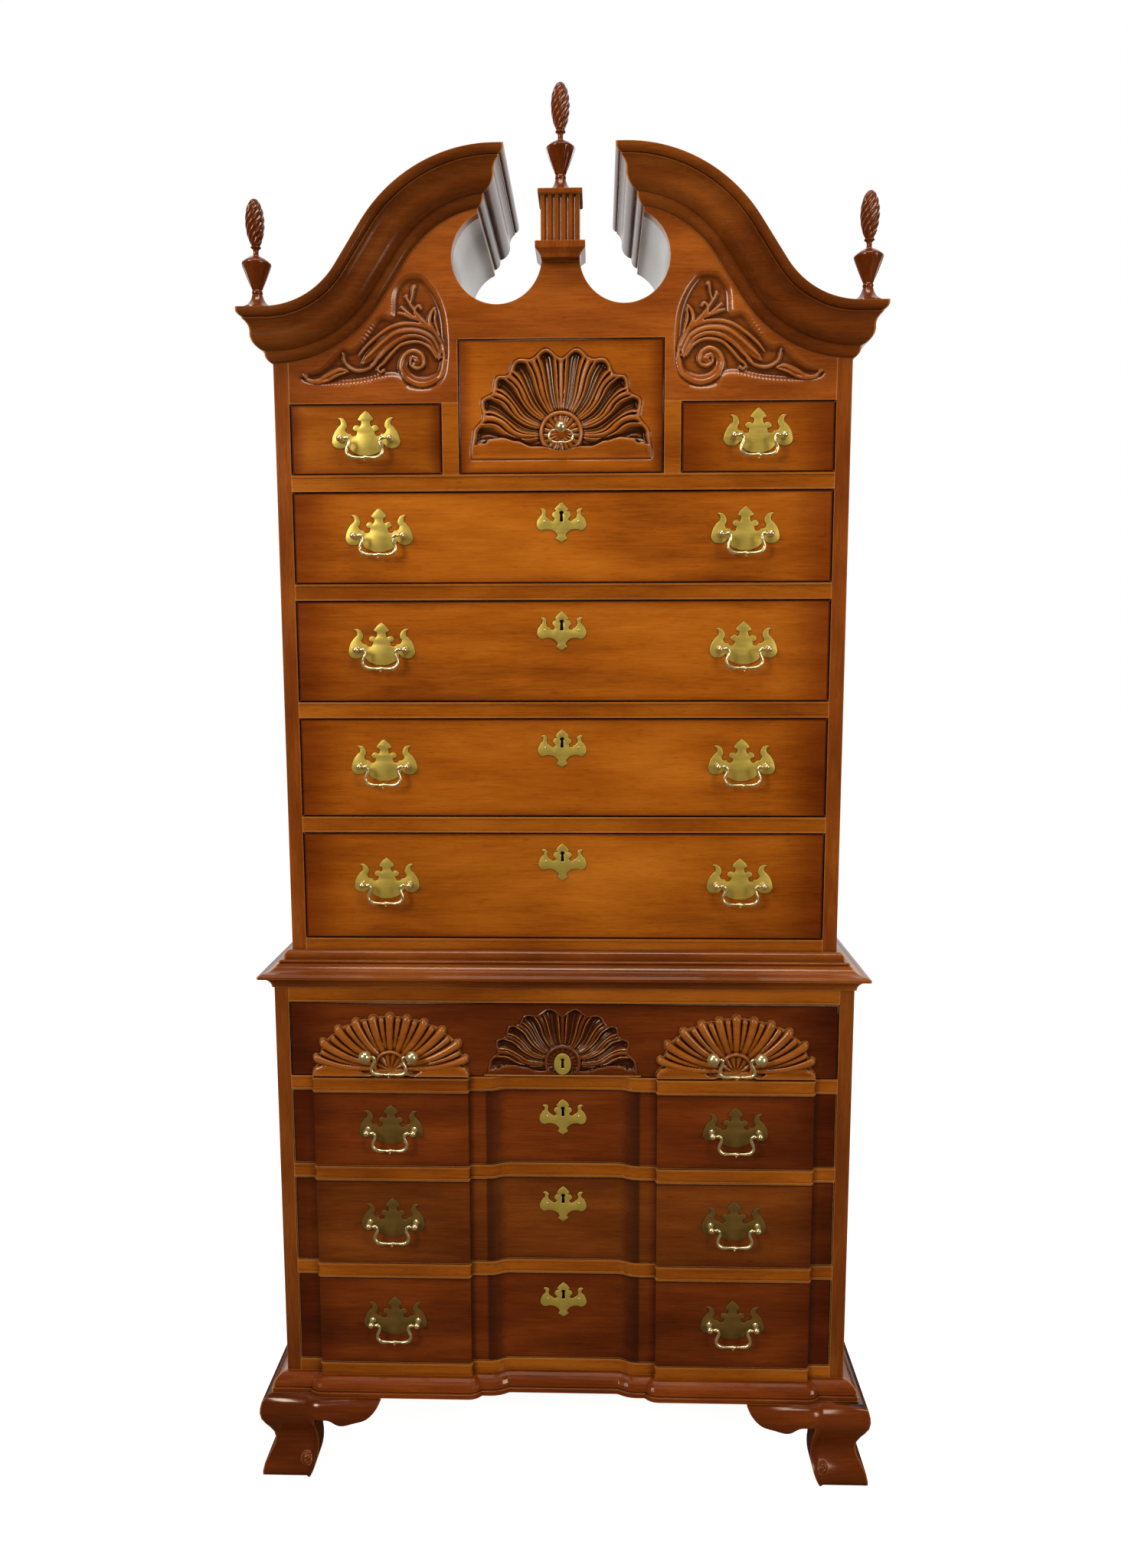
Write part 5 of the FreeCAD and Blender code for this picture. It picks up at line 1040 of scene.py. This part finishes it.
def smooth_line(marks, share):
    """A point on a smooth line through marks, at a share counted in marks."""
    index = min(int(share), len(marks) - 2)
    part = share - index
    four = [marks[min(max(index + step, 0), len(marks) - 1)] for step in (-1, 0, 1, 2)]
    weights = (-part ** 3 + 2 * part ** 2 - part, 3 * part ** 3 - 5 * part ** 2 + 2,
               -3 * part ** 3 + 4 * part ** 2 + part, part ** 3 - part ** 2)
    return tuple(sum(w * mark[axis] for w, mark in zip(weights, four)) / 2 for axis in range(len(marks[0])))


def marks_along(line, steps):
    """A smooth line as a search tree of its points, with all its points."""
    points = [smooth_line(line, index / steps) for index in range((len(line) - 1) * steps + 1)]
    tree = kdtree.KDTree(len(points))
    for index, point in enumerate(points):
        tree.insert((point[0], 0, point[1]), index)
    tree.balance()
    return tree, points


rib_trees = [marks_along(rib, RIB_STEPS) for rib in RIBS]
body_trees = [marks_along(body, RIB_STEPS) for body in BODIES]
ground_tree, ground_line = marks_along([(*mark, 0) for mark in GROUND + GROUND[:1]], GROUND_STEPS)
print("ribs of foliage on each side:", len(RIBS))


# %% Depth of the foliage
def is_inside(x, z):
    """Whether a point lies within the sunk ground."""
    found = False
    for (ax, az, _), (bx, bz, _) in zip(ground_line, ground_line[1:]):
        if (az > z) != (bz > z) and x < (bx - ax) * (z - az) / (bz - az) + ax:
            found = not found
    return found


def nearness(trees, x, z):
    """How near a point is to the closest of some lines: 1 on a line, 0 at its half width and beyond."""
    near = 0.0
    for tree, points in trees:
        _, index, away = tree.find((x, 0, z))
        near = max(near, 1 - (away / points[index][2]) ** 2)
    return near


def foliage_cut(x, z):
    """Depth below the board's face at a point of the left-hand carving."""
    if not is_inside(x, z):
        return 0.0
    _, _, edge_gap = ground_tree.find((x, 0, z))
    depth = GROUND_DEEP * step_between(0, SLOPE, edge_gap)
    body = math.sqrt(nearness(body_trees, x, z))
    rib = math.sqrt(nearness(rib_trees, x, z))
    rise = BODY_RISE * body + (LONE_RISE + (RIB_RISE - LONE_RISE) * min(1.0, 1.5 * body)) * rib
    return max(depth - rise, -MOST_PROUD) if rise else depth


# %% Scroll board with its carving
LEAF_PITCH = 1.05
LEAF_SHEET = ((-414, 1764), (-164.8, 1950))
UNDER_CROWN = {"plane_co": (-0.272, 0, 1.950), "plane_no": (-0.128, 0, 0.144)}


def all_of(shape):
    """All points, edges and faces of a bmesh."""
    return [*shape.verts, *shape.edges, *shape.faces]


left_leaf = carved_sheet(*LEAF_SHEET, LEAF_PITCH, UPPER_FACE, foliage_cut)
bmesh.ops.bisect_plane(left_leaf, geom=all_of(left_leaf), clear_outer=True, **UNDER_CROWN)
right_leaf = left_leaf.copy()
bmesh.ops.mirror(right_leaf, geom=all_of(right_leaf), matrix=Matrix.Identity(4), merge_dist=0, axis="X")
bmesh.ops.delete(right_leaf, geom=[v for v in right_leaf.verts if v.co.x < 0], context="VERTS")

scroll = plain_copy("scroll_board")
open_front(scroll, UPPER_FACE)
let_in(scroll, [left_leaf, right_leaf])
scroll_wood = mahogany("mahogany_scroll_board", "russet", "along", (1.2, 0.6, 5.1), 1.2, carved=0.7)
made = finish_piece("carved_scroll_board", scroll, scroll_wood, "carcase", ["scroll_board"])
print("scroll board:", len(made.data.polygons), "faces")

# %% [markdown]
# ## Finials
# A finial is turned in one piece on the lathe: a flared foot, an urn and a pointed bud. The carver then cuts
# eight furrows that wind up round the bud, so it becomes a flame, and faint upright flutes on the urn. So the
# half outline is spun round, and the furrows are pressed into the turned surface.

# %% Turned outline
TURNED = [
    # (radius, height) in millimetres
    (0, 0), (15.5, 0), (23.85, 0.4), (23.85, 2.9), (22.4, 3.6), (17.6, 7.0), (13.6, 10.6), (10.6, 15.0),
    (9.0, 19.5), (8.3, 22.0), (7.4, 22.6), (8.0, 24.0), (8.4, 26.0), (8.0, 28.2), (7.2, 29.4), (8.0, 30.6),
    (9.4, 34.0), (12.2, 40.5), (15.2, 47.5), (18.0, 54.5), (20.4, 60.5), (22.0, 65.0), (22.4, 66.6),
    (22.0, 67.8), (20.7, 68.1), (20.4, 68.9), (18.6, 70.8), (15.0, 73.6), (10.8, 76.1), (6.8, 78.2),
    (4.6, 79.6), (4.1, 81.5), (4.1, 86.0), (4.8, 88.0), (6.2, 89.4), (7.7, 90.4), (7.9, 91.4), (6.9, 92.2),
]
BUD = [(6.0, 92.6), (8.4, 97.5), (10.9, 104.0), (12.9, 112.0), (14.0, 120.0), (14.4, 127.0), (14.0, 135.0),
       (12.8, 143.0), (10.4, 150.5), (7.2, 156.4), (3.7, 160.0), (0, 161.0)]
BUD_STEPS = 14
TURNS = 96
FURROWS = 8
TWIST = 0.066
FLAME_FOOT = BUD[0][1]
FURROW_CUT, FURROW_RUN_IN = 0.15, 7
FLAME_TIP = (150, 160)
URN_FLUTES, URN_CUT = 16, 0.7
FLUTES_BEGIN, FLUTES_END = (33, 42), (60, 66)


def carve_turned(radius, angle, height):
    """The radius left after the carver's furrows and flutes, and the turn of the flame at this height."""
    if height > FLAME_FOOT:
        wave = abs(math.cos(angle * FURROWS / 2))
        cut = FURROW_CUT * (1 - wave) * step_between(FLAME_FOOT, FLAME_FOOT + FURROW_RUN_IN, height)
        kept = radius * (1 - cut * (1 - 0.5 * step_between(*FLAME_TIP, height)))
        return kept, TWIST * (height - FLAME_FOOT)
    flutes = step_between(*FLUTES_BEGIN, height) * (1 - step_between(*FLUTES_END, height))
    return radius - URN_CUT * flutes * abs(math.sin(angle * URN_FLUTES / 2)), 0.0


def finial(middle):
    """One finial with its foot's middle at a place."""
    fine = [smooth_line(BUD, index / BUD_STEPS) for index in range((len(BUD) - 1) * BUD_STEPS + 1)]
    lathe = bmesh.new()
    outline = [lathe.verts.new((max(radius, 0) * MM, 0, height * MM)) for radius, height in TURNED + fine]
    edges = [lathe.edges.new(pair) for pair in zip(outline, outline[1:])]
    bmesh.ops.spin(lathe, geom=outline + edges, cent=(0, 0, 0), axis=(0, 0, 1), angle=2 * math.pi,
                   steps=TURNS, use_merge=True)
    bmesh.ops.remove_doubles(lathe, verts=lathe.verts, dist=FACE_EDGE)
    for vertex in lathe.verts:
        radius, angle = math.hypot(vertex.co.x, vertex.co.y), math.atan2(vertex.co.y, vertex.co.x)
        kept, turned = carve_turned(radius / MM, angle, vertex.co.z / MM)
        vertex.co.x, vertex.co.y = kept * MM * math.cos(angle + turned), kept * MM * math.sin(angle + turned)
    bmesh.ops.recalc_face_normals(lathe, faces=lathe.faces)
    bmesh.ops.translate(lathe, vec=middle, verts=lathe.verts)
    return lathe


# %% Three finials
def foot_of(low, high):
    """The middle of a finial's foot, from the corners of its box."""
    return Vector(((low.x + high.x) / 2, (low.y + high.y) / 2, low.z))


flame_wood = mahogany("mahogany_finials", "red", "upright", (1.5, 4.9, 1.5), 0.85, glaze=0.8,
                      reach=0.004, rubbed_highlight=0.2)
made = finish_piece("finial_centre", finial(foot_of(*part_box("finial_centre"))), flame_wood, "carcase",
                    ["finial_centre"])
pair_low, pair_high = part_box("finials_side")
half = (pair_high.y - pair_low.y) / 2
sides = bmesh.new()
for side, edge in zip((1, -1), (pair_low.x, pair_high.x)):
    join_shapes(sides, finial(Vector((edge + side * half, pair_low.y + half, pair_low.z))))
finish_piece("finials_side", sides, flame_wood, "carcase", ["finials_side"])
print("finial:", len(made.data.polygons), "faces")

# %% [markdown]
# ## Front feet
# The front feet are sawn to shape and then rounded by hand, so no edge is left sharp where a shoe or a broom
# would chip it. At the inner corner of each toe the carver leaves a small coil. The feet are copied from the
# frame, their sharp outer edges are rounded, and a coil is laid on the curved front of each toe.

# %% Rounded feet
FOOT_ROUND = 3.0 * MM
FOOT_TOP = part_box("foot_front_left")[1].z
COIL_X, COIL_Z, COIL_R = 431.0, 27.0, 9.5
COIL_HALF = 10.5
COIL_PITCH = 0.6
COIL_RISE, WINDING, GROOVE_DEEP, GROOVE_WIDE, COIL_EYE = 3.0, 4.6, 1.5, 0.16, 1.6
SHARP = math.radians(35)


def rounded_foot(node):
    """A foot's boards with their sharp edges rounded."""
    shape = plain_copy(node)
    edges = [edge for edge in shape.edges if edge.is_convex and edge.calc_face_angle(0) > SHARP
             and max(vertex.co.z for vertex in edge.verts) < FOOT_TOP - 2 * FOOT_ROUND]
    round_over(shape, edges, FOOT_ROUND, segments=3, clamp_overlap=True)
    for vertex in shape.verts:
        vertex.co.z = max(vertex.co.z, 0.0)
    return shape


def coil_height(across, up):
    """Height of the coil over the toe at a point from its middle."""
    radius = math.hypot(across, up)
    if radius > COIL_R:
        return -1.0
    turn = (math.atan2(up, across) / (2 * math.pi) + radius / WINDING) % 1
    groove = GROOVE_DEEP * math.exp(-((turn - 0.5) / GROOVE_WIDE) ** 2) * (radius > COIL_EYE)
    return COIL_RISE * (1 - (radius / COIL_R) ** 4) - groove


def toe_coil(node, side):
    """The small coil on the curved front of a toe."""
    foot = nodes[node]

    def outward(x, z):
        _, place, _, _ = foot.ray_cast((x * MM, -1, z * MM), (0, 1, 0))
        return place.y / MM - coil_height(side * x - COIL_X, z - COIL_Z)

    middle = side * COIL_X
    coil = carved_sheet((middle - COIL_HALF, COIL_Z - COIL_HALF), (middle + COIL_HALF, COIL_Z + COIL_HALF),
                        COIL_PITCH, 0, outward)
    outside = [vertex for vertex in coil.verts
               if math.hypot(vertex.co.x / MM - middle, vertex.co.z / MM - COIL_Z) > COIL_R + COIL_PITCH]
    bmesh.ops.delete(coil, geom=outside, context="VERTS")
    sides = bmesh.ops.extrude_edge_only(coil, edges=rims_of(coil))["geom"]
    back = max(vertex.co.y for vertex in coil.verts) + 2 * MM
    for part in sides:
        if isinstance(part, bmesh.types.BMVert):
            part.co.y = back
    bmesh.ops.contextual_create(coil, geom=rims_of(coil))
    bmesh.ops.recalc_face_normals(coil, faces=coil.faces)
    return coil


coil_wood = mahogany("mahogany_toe_coils", "red", "along", (5.0, 3.0, 1.0), 0.8, rubbed_highlight=0.0)
for word, side in SIDES.items():
    node = f"foot_front_{word}"
    coil, foot = toe_coil(node, side), rounded_foot(node)
    finish_piece(f"toe_coil_{word}", coil, coil_wood, "carcase", angle=60)
    made = finish_piece(f"rounded_foot_{word}", foot, board_woods[node], "carcase", [node])
print("foot:", len(made.data.polygons), "faces")

# %% [markdown]
# ## Brass
# Plates, posts and bails are cast brass. The plates are brushed, so they look soft and yellow, and the posts
# and bails are polished like mirrors. The plates on the blocks are a dark olive brown beside their bright
# bails: a painted dark reflection. In every corner a little brown stays where no cloth reaches. The plates
# are less of a mirror than the posts and bails, so metallic is lower there.

# %% Brass material
BRASSES = {
    # name: (tint, roughness, metallic, scale of the smears, brown in the corners, how far out it reaches)
    "polished_brass": ((0.92, 0.74, 0.36), 0.27, 0.88, (40, 40, 160), 0.5, 0.004),
    "brushed_brass": ((0.62, 0.43, 0.07), 0.42, 0.62, (30, 30, 260), 0.6, 0.001),
    # Dark brass for the plates on the blocks: a painted dark reflection.
    "dark_reflection_brass": ((0.17, 0.09, 0.012), 0.46, 0.5, (30, 30, 260), 0.8, 0.001),
}
TARNISH = (0.10, 0.05, 0.012, 1)
DULLER = 0.85


def brass(name, tint, roughness, metallic, smears, aged, reach):
    """Brass with faint smears along the polish and brown left in its corners."""
    made, tree, shader = new_material(name)
    position = own_place(tree)
    smear = noise(tree, position, smears, 4.0, 0.6)
    joined(tree, sum_of(tree, "ADD", product(tree, smear, roughness), roughness * 0.5),
           shader.inputs["Roughness"])
    cloud = fade(tree, noise(tree, position, (30, 30, 30), 2.0), 0.3, 0.7)
    colour = mixed(tree, cloud, (*(c * DULLER for c in tint), 1), (*tint, 1))
    colour = mixed(tree, corner_masks(tree, reach, aged)["Mask"], colour, TARNISH)
    joined(tree, colour, shader.inputs["Base Color"])
    shader.inputs["Metallic"].default_value = metallic
    return made


finishes = [brass(name, *look) for name, look in BRASSES.items()]
POLISHED, BRUSHED, DARK_REFLECTION = range(3)

# %% [markdown]
# ## Plates and posts
# The plates come from the frame with their outlines and keyholes. A real casting has no knife edge: its rim
# is filed round, and this thin bright line is what one sees first. So each plate's front rim is rounded here,
# and each keyhole plate gets the two round-headed pins that hold it.

# %% Rounded plates
PLATE_THICK = 1.6 * MM
RIM = 0.55 * MM
HAIR = 0.1 * MM
BLOCK_FROM, MIDDLE_WITHIN = 0.2, 0.01
KEYHOLE_PLATE_WIDE = 0.05
RIM_ANGLE = 1.0
KNOB_SWELL = 0.22
PIN_APART, PIN_BELOW, PIN_HEAD = 26.3 * MM, 29.1 * MM, 1.7 * MM


def nodes_named(start):
    """The CAD nodes whose names have this start, each with the rest of its name."""
    return [(name, name.removeprefix(start)) for name in nodes if name.startswith(start)]


def corners_of(shell):
    """The lowest and highest corner of a set of faces."""
    points = [v.co for part in shell for v in part.verts]
    return (Vector(min(p[axis] for p in points) for axis in range(3)),
            Vector(max(p[axis] for p in points) for axis in range(3)))


def swell_knob(points, low, high):
    """Widens a knob to the size of its casting, about the middle of its ball."""
    tall = high.z - low.z
    middle = Vector(((low.x + high.x) / 2, low.y + tall / 2, (low.z + high.z) / 2))
    for point in points:
        share = step_between(-0.2, 0.9, (middle.y + tall / 2 - point.co.y) / tall)
        point.co = middle + (point.co - middle) * (1 + KNOB_SWELL * share)


def rounded_brasses(node):
    """The plates and posts of one drawer: the plates' rims rounded, with a finish number for each part."""
    shape = merged_copy(node)
    rims, pins = [], []
    for shell in solids_of(shape):
        low, high = corners_of(shell)
        if high.y - low.y > PLATE_THICK + HAIR:
            if node == "brasses_shell":
                swell_knob({v for part in shell for v in part.verts}, low, high)
            continue
        # The plates on the blocks take the dark brass, a painted dark reflection.
        on_block = abs(low.x + high.x) > 2 * BLOCK_FROM and node.startswith("brasses_block")
        for part in shell:
            part.material_index = DARK_REFLECTION if on_block else BRUSHED
        front = low.y + HAIR / 2
        rims += [edge for edge in {e for part in shell for e in part.edges}
                 if all(v.co.y < front for v in edge.verts) and edge.calc_face_angle(0) > RIM_ANGLE]
        if abs(low.x + high.x) < 2 * MIDDLE_WITHIN and high.x - low.x > KEYHOLE_PLATE_WIDE:
            pins += [Vector((side * PIN_APART, low.y, high.z - PIN_BELOW)) for side in SIDES.values()]
    round_over(shape, rims, RIM)
    for pin in pins:
        add_ball(shape, pin, PIN_HEAD, depth=0.6)
    return shape


for node, stem in nodes_named("brasses_"):
    made = finish_piece(f"plates_{stem}", rounded_brasses(node), finishes, f"{stem}_drawer", [node],
                        flat_front=True)
print("plates and posts of a long drawer:", len(made.data.polygons), "faces")

# %% [markdown]
# ## Bails
# A bail is cast thick and thin: thin pins, a swelling beside each post, a slim waist that bows in and out
# again, full corners and a slim grip with a drop at its middle. So each is a curve with a thickness at each
# of its marks, drawn for the right half and mirrored. Marks are in millimetres from the line of the pins.

# %% Lines of the bails
LOOP = [
    # (x, z, radius)
    (37.1, 0, 1.4), (32.8, 0, 1.4), (31.0, 0, 2.6), (27.8, 0.1, 3.1), (24.9, -1.6, 2.8), (23.9, -5.4, 2.4),
    (24.9, -10.4, 2.7), (27.0, -15.2, 2.6), (27.8, -19.8, 2.5), (26.2, -24.4, 2.9), (22.6, -27.8, 3.2),
    (18.0, -29.2, 2.9), (12.0, -29.5, 2.1), (7.0, -29.4, 1.8), (3.2, -29.4, 2.4), (0, -29.4, 3.3),
]
SHELL_LOOP = [
    (37.1, 0, 1.4), (27.0, 0, 1.4), (25.4, -0.2, 2.5), (23.5, -1.8, 2.7), (22.8, -5.4, 2.3),
    (24.0, -10.4, 2.6), (26.6, -15.4, 2.5), (28.0, -20.2, 2.5), (26.9, -24.8, 2.9), (23.4, -28.0, 3.2),
] + LOOP[11:]
FAN_RING_LINE = [(9.0, 0, 1.1), (13.6, -1.2, 1.4), (17.2, -5.0, 1.6), (18.2, -10.0, 1.5),
                 (15.6, -15.4, 1.7), (10.0, -18.2, 1.5), (4.0, -18.4, 1.2), (0, -18.4, 2.0)]
LOOP_WIRE, RING_WIRE = 2.1 * MM, 1.3 * MM
DROP_RADIUS, DROP_BELOW = 1.5 * MM, 0.9


def cast_line(marks, closed):
    """A round bar through marks of x, z and radius, as a bmesh."""
    line = bpy.data.curves.new("bail_line", "CURVE")
    line.dimensions = "3D"
    line.bevel_depth = MM
    line.bevel_resolution = 3
    line.resolution_u = 5
    line.use_fill_caps = True
    spline = line.splines.new("BEZIER")
    spline.use_cyclic_u = closed
    spline.bezier_points.add(len(marks) - 1)
    for point, (x, z, radius) in zip(spline.bezier_points, marks):
        point.co = (x * MM, 0, z * MM)
        point.handle_left_type = point.handle_right_type = "AUTO"
        point.radius = radius
    holder = bpy.data.objects.new("bail_line", line)
    mesh = bpy.data.meshes.new_from_object(holder)
    bpy.data.objects.remove(holder)
    bpy.data.curves.remove(line)
    bar = bmesh.new()
    bar.from_mesh(mesh)
    bpy.data.meshes.remove(mesh)
    bmesh.ops.remove_doubles(bar, verts=bar.verts, dist=FACE_EDGE)
    bmesh.ops.recalc_face_normals(bar, faces=bar.faces)
    return bar


def cast_bail(half_line, closed):
    """A whole bail hanging from the line of its pins, with the drop under its grip."""
    mirrored_marks = [(-x, z, radius) for x, z, radius in half_line[-2::-1]]
    bar = cast_line(half_line + mirrored_marks, closed)
    low = half_line[-1][1] - half_line[-1][2]
    add_ball(bar, (0, 0, (low - DROP_BELOW) * MM), DROP_RADIUS)
    return bar


# %% Nineteen bails
for node, stem in nodes_named("bail_"):
    low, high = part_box(node)
    ring = stem == "fan"
    shape = cast_bail(FAN_RING_LINE if ring else SHELL_LOOP if stem.startswith("shell") else LOOP, ring)
    hung = Vector(((low.x + high.x) / 2, (low.y + high.y) / 2, high.z - (RING_WIRE if ring else LOOP_WIRE)))
    bmesh.ops.translate(shape, vec=hung, verts=shape.verts)
    made = finish_piece(f"cast_bail_{stem}", shape, finishes[POLISHED], f"{stem}_bail", [node])
print("bail:", len(made.data.polygons), "faces")

# %% [markdown]
# ## Backs and the bonnet
# The back boards are unpolished. The bonnet's roof is stained like the sides, and the round linings inside
# it are a dull pale grey that darkens towards the bottom of each hole: a painted glare, for the light that
# these inner surfaces catch.

# %% Unpolished boards
BACK_TONES = ((0.20, 0.105, 0.05, 1), (0.40, 0.24, 0.125, 1))
UNPOLISHED = 0.75

backs, tree, shader = new_material("back_boards")
figure = plank(tree, own_place(tree), "upright", (5.0, 2.0, 7.0))
joined(tree, mixed(tree, figure["Figure"], *BACK_TONES), shader.inputs["Base Color"])
shader.inputs["Roughness"].default_value = UNPOLISHED
press_pores(tree, figure["Pores"], shader, 0.3, 0.6 * MM)
dress("case_backs", backs)

# %% Bonnet boards
HOLE_X, HOLE_Z, HOLE_R = 0.097, 1.967, 0.0685
SLOT_HALF, SKIN = 0.125, 0.0035
PAINT_EDGE = 0.0005
# The pale grey of the linings, darker towards the bottom: a painted glare.
LINING_GLARE_TONES = ((0.115, 0.105, 0.095, 1), (0.72, 0.70, 0.66, 1))

bonnet = mahogany("bonnet_boards", "russet", "deep", (8.0, 3.0, 1.0), 0.95)
tree = bonnet.node_tree
shader = tree.nodes["Principled BSDF"]
polished = shader.inputs["Base Color"].links[0].from_socket
position = own_place(tree)
aside = sum_of(tree, "ABSOLUTE", axis_of(tree, position, "X"))
run = sum_of(tree, "SUBTRACT", aside, HOLE_X)
rise = sum_of(tree, "SUBTRACT", axis_of(tree, position, "Z"), HOLE_Z)
away = sum_of(tree, "SQRT", sum_of(tree, "ADD", product(tree, run, run), product(tree, rise, rise)))
lined, walled, floor_level = HOLE_R + SKIN, SLOT_HALF + SKIN, -HOLE_R - SKIN
in_hole = fade(tree, away, lined + PAINT_EDGE, lined - PAINT_EDGE)
in_slot = product(tree, fade(tree, aside, walled + PAINT_EDGE, walled - PAINT_EDGE),
                  fade(tree, rise, floor_level, floor_level + 2 * MM))
# Where the linings and the walls of the slot take the pale grey of painted glare.
painted = sum_of(tree, "MAXIMUM", in_hole, in_slot)
height = product(tree, fade(tree, rise, -HOLE_R, 0.10), 0.8)
patchy = product(tree, noise(tree, position, (14, 9, 14), 3.0), 0.3)
pale = mixed(tree, sum_of(tree, "ADD", height, patchy, use_clamp=True), *LINING_GLARE_TONES)
joined(tree, mixed(tree, painted, polished, pale), shader.inputs["Base Color"])
dress("bonnet_box", bonnet)
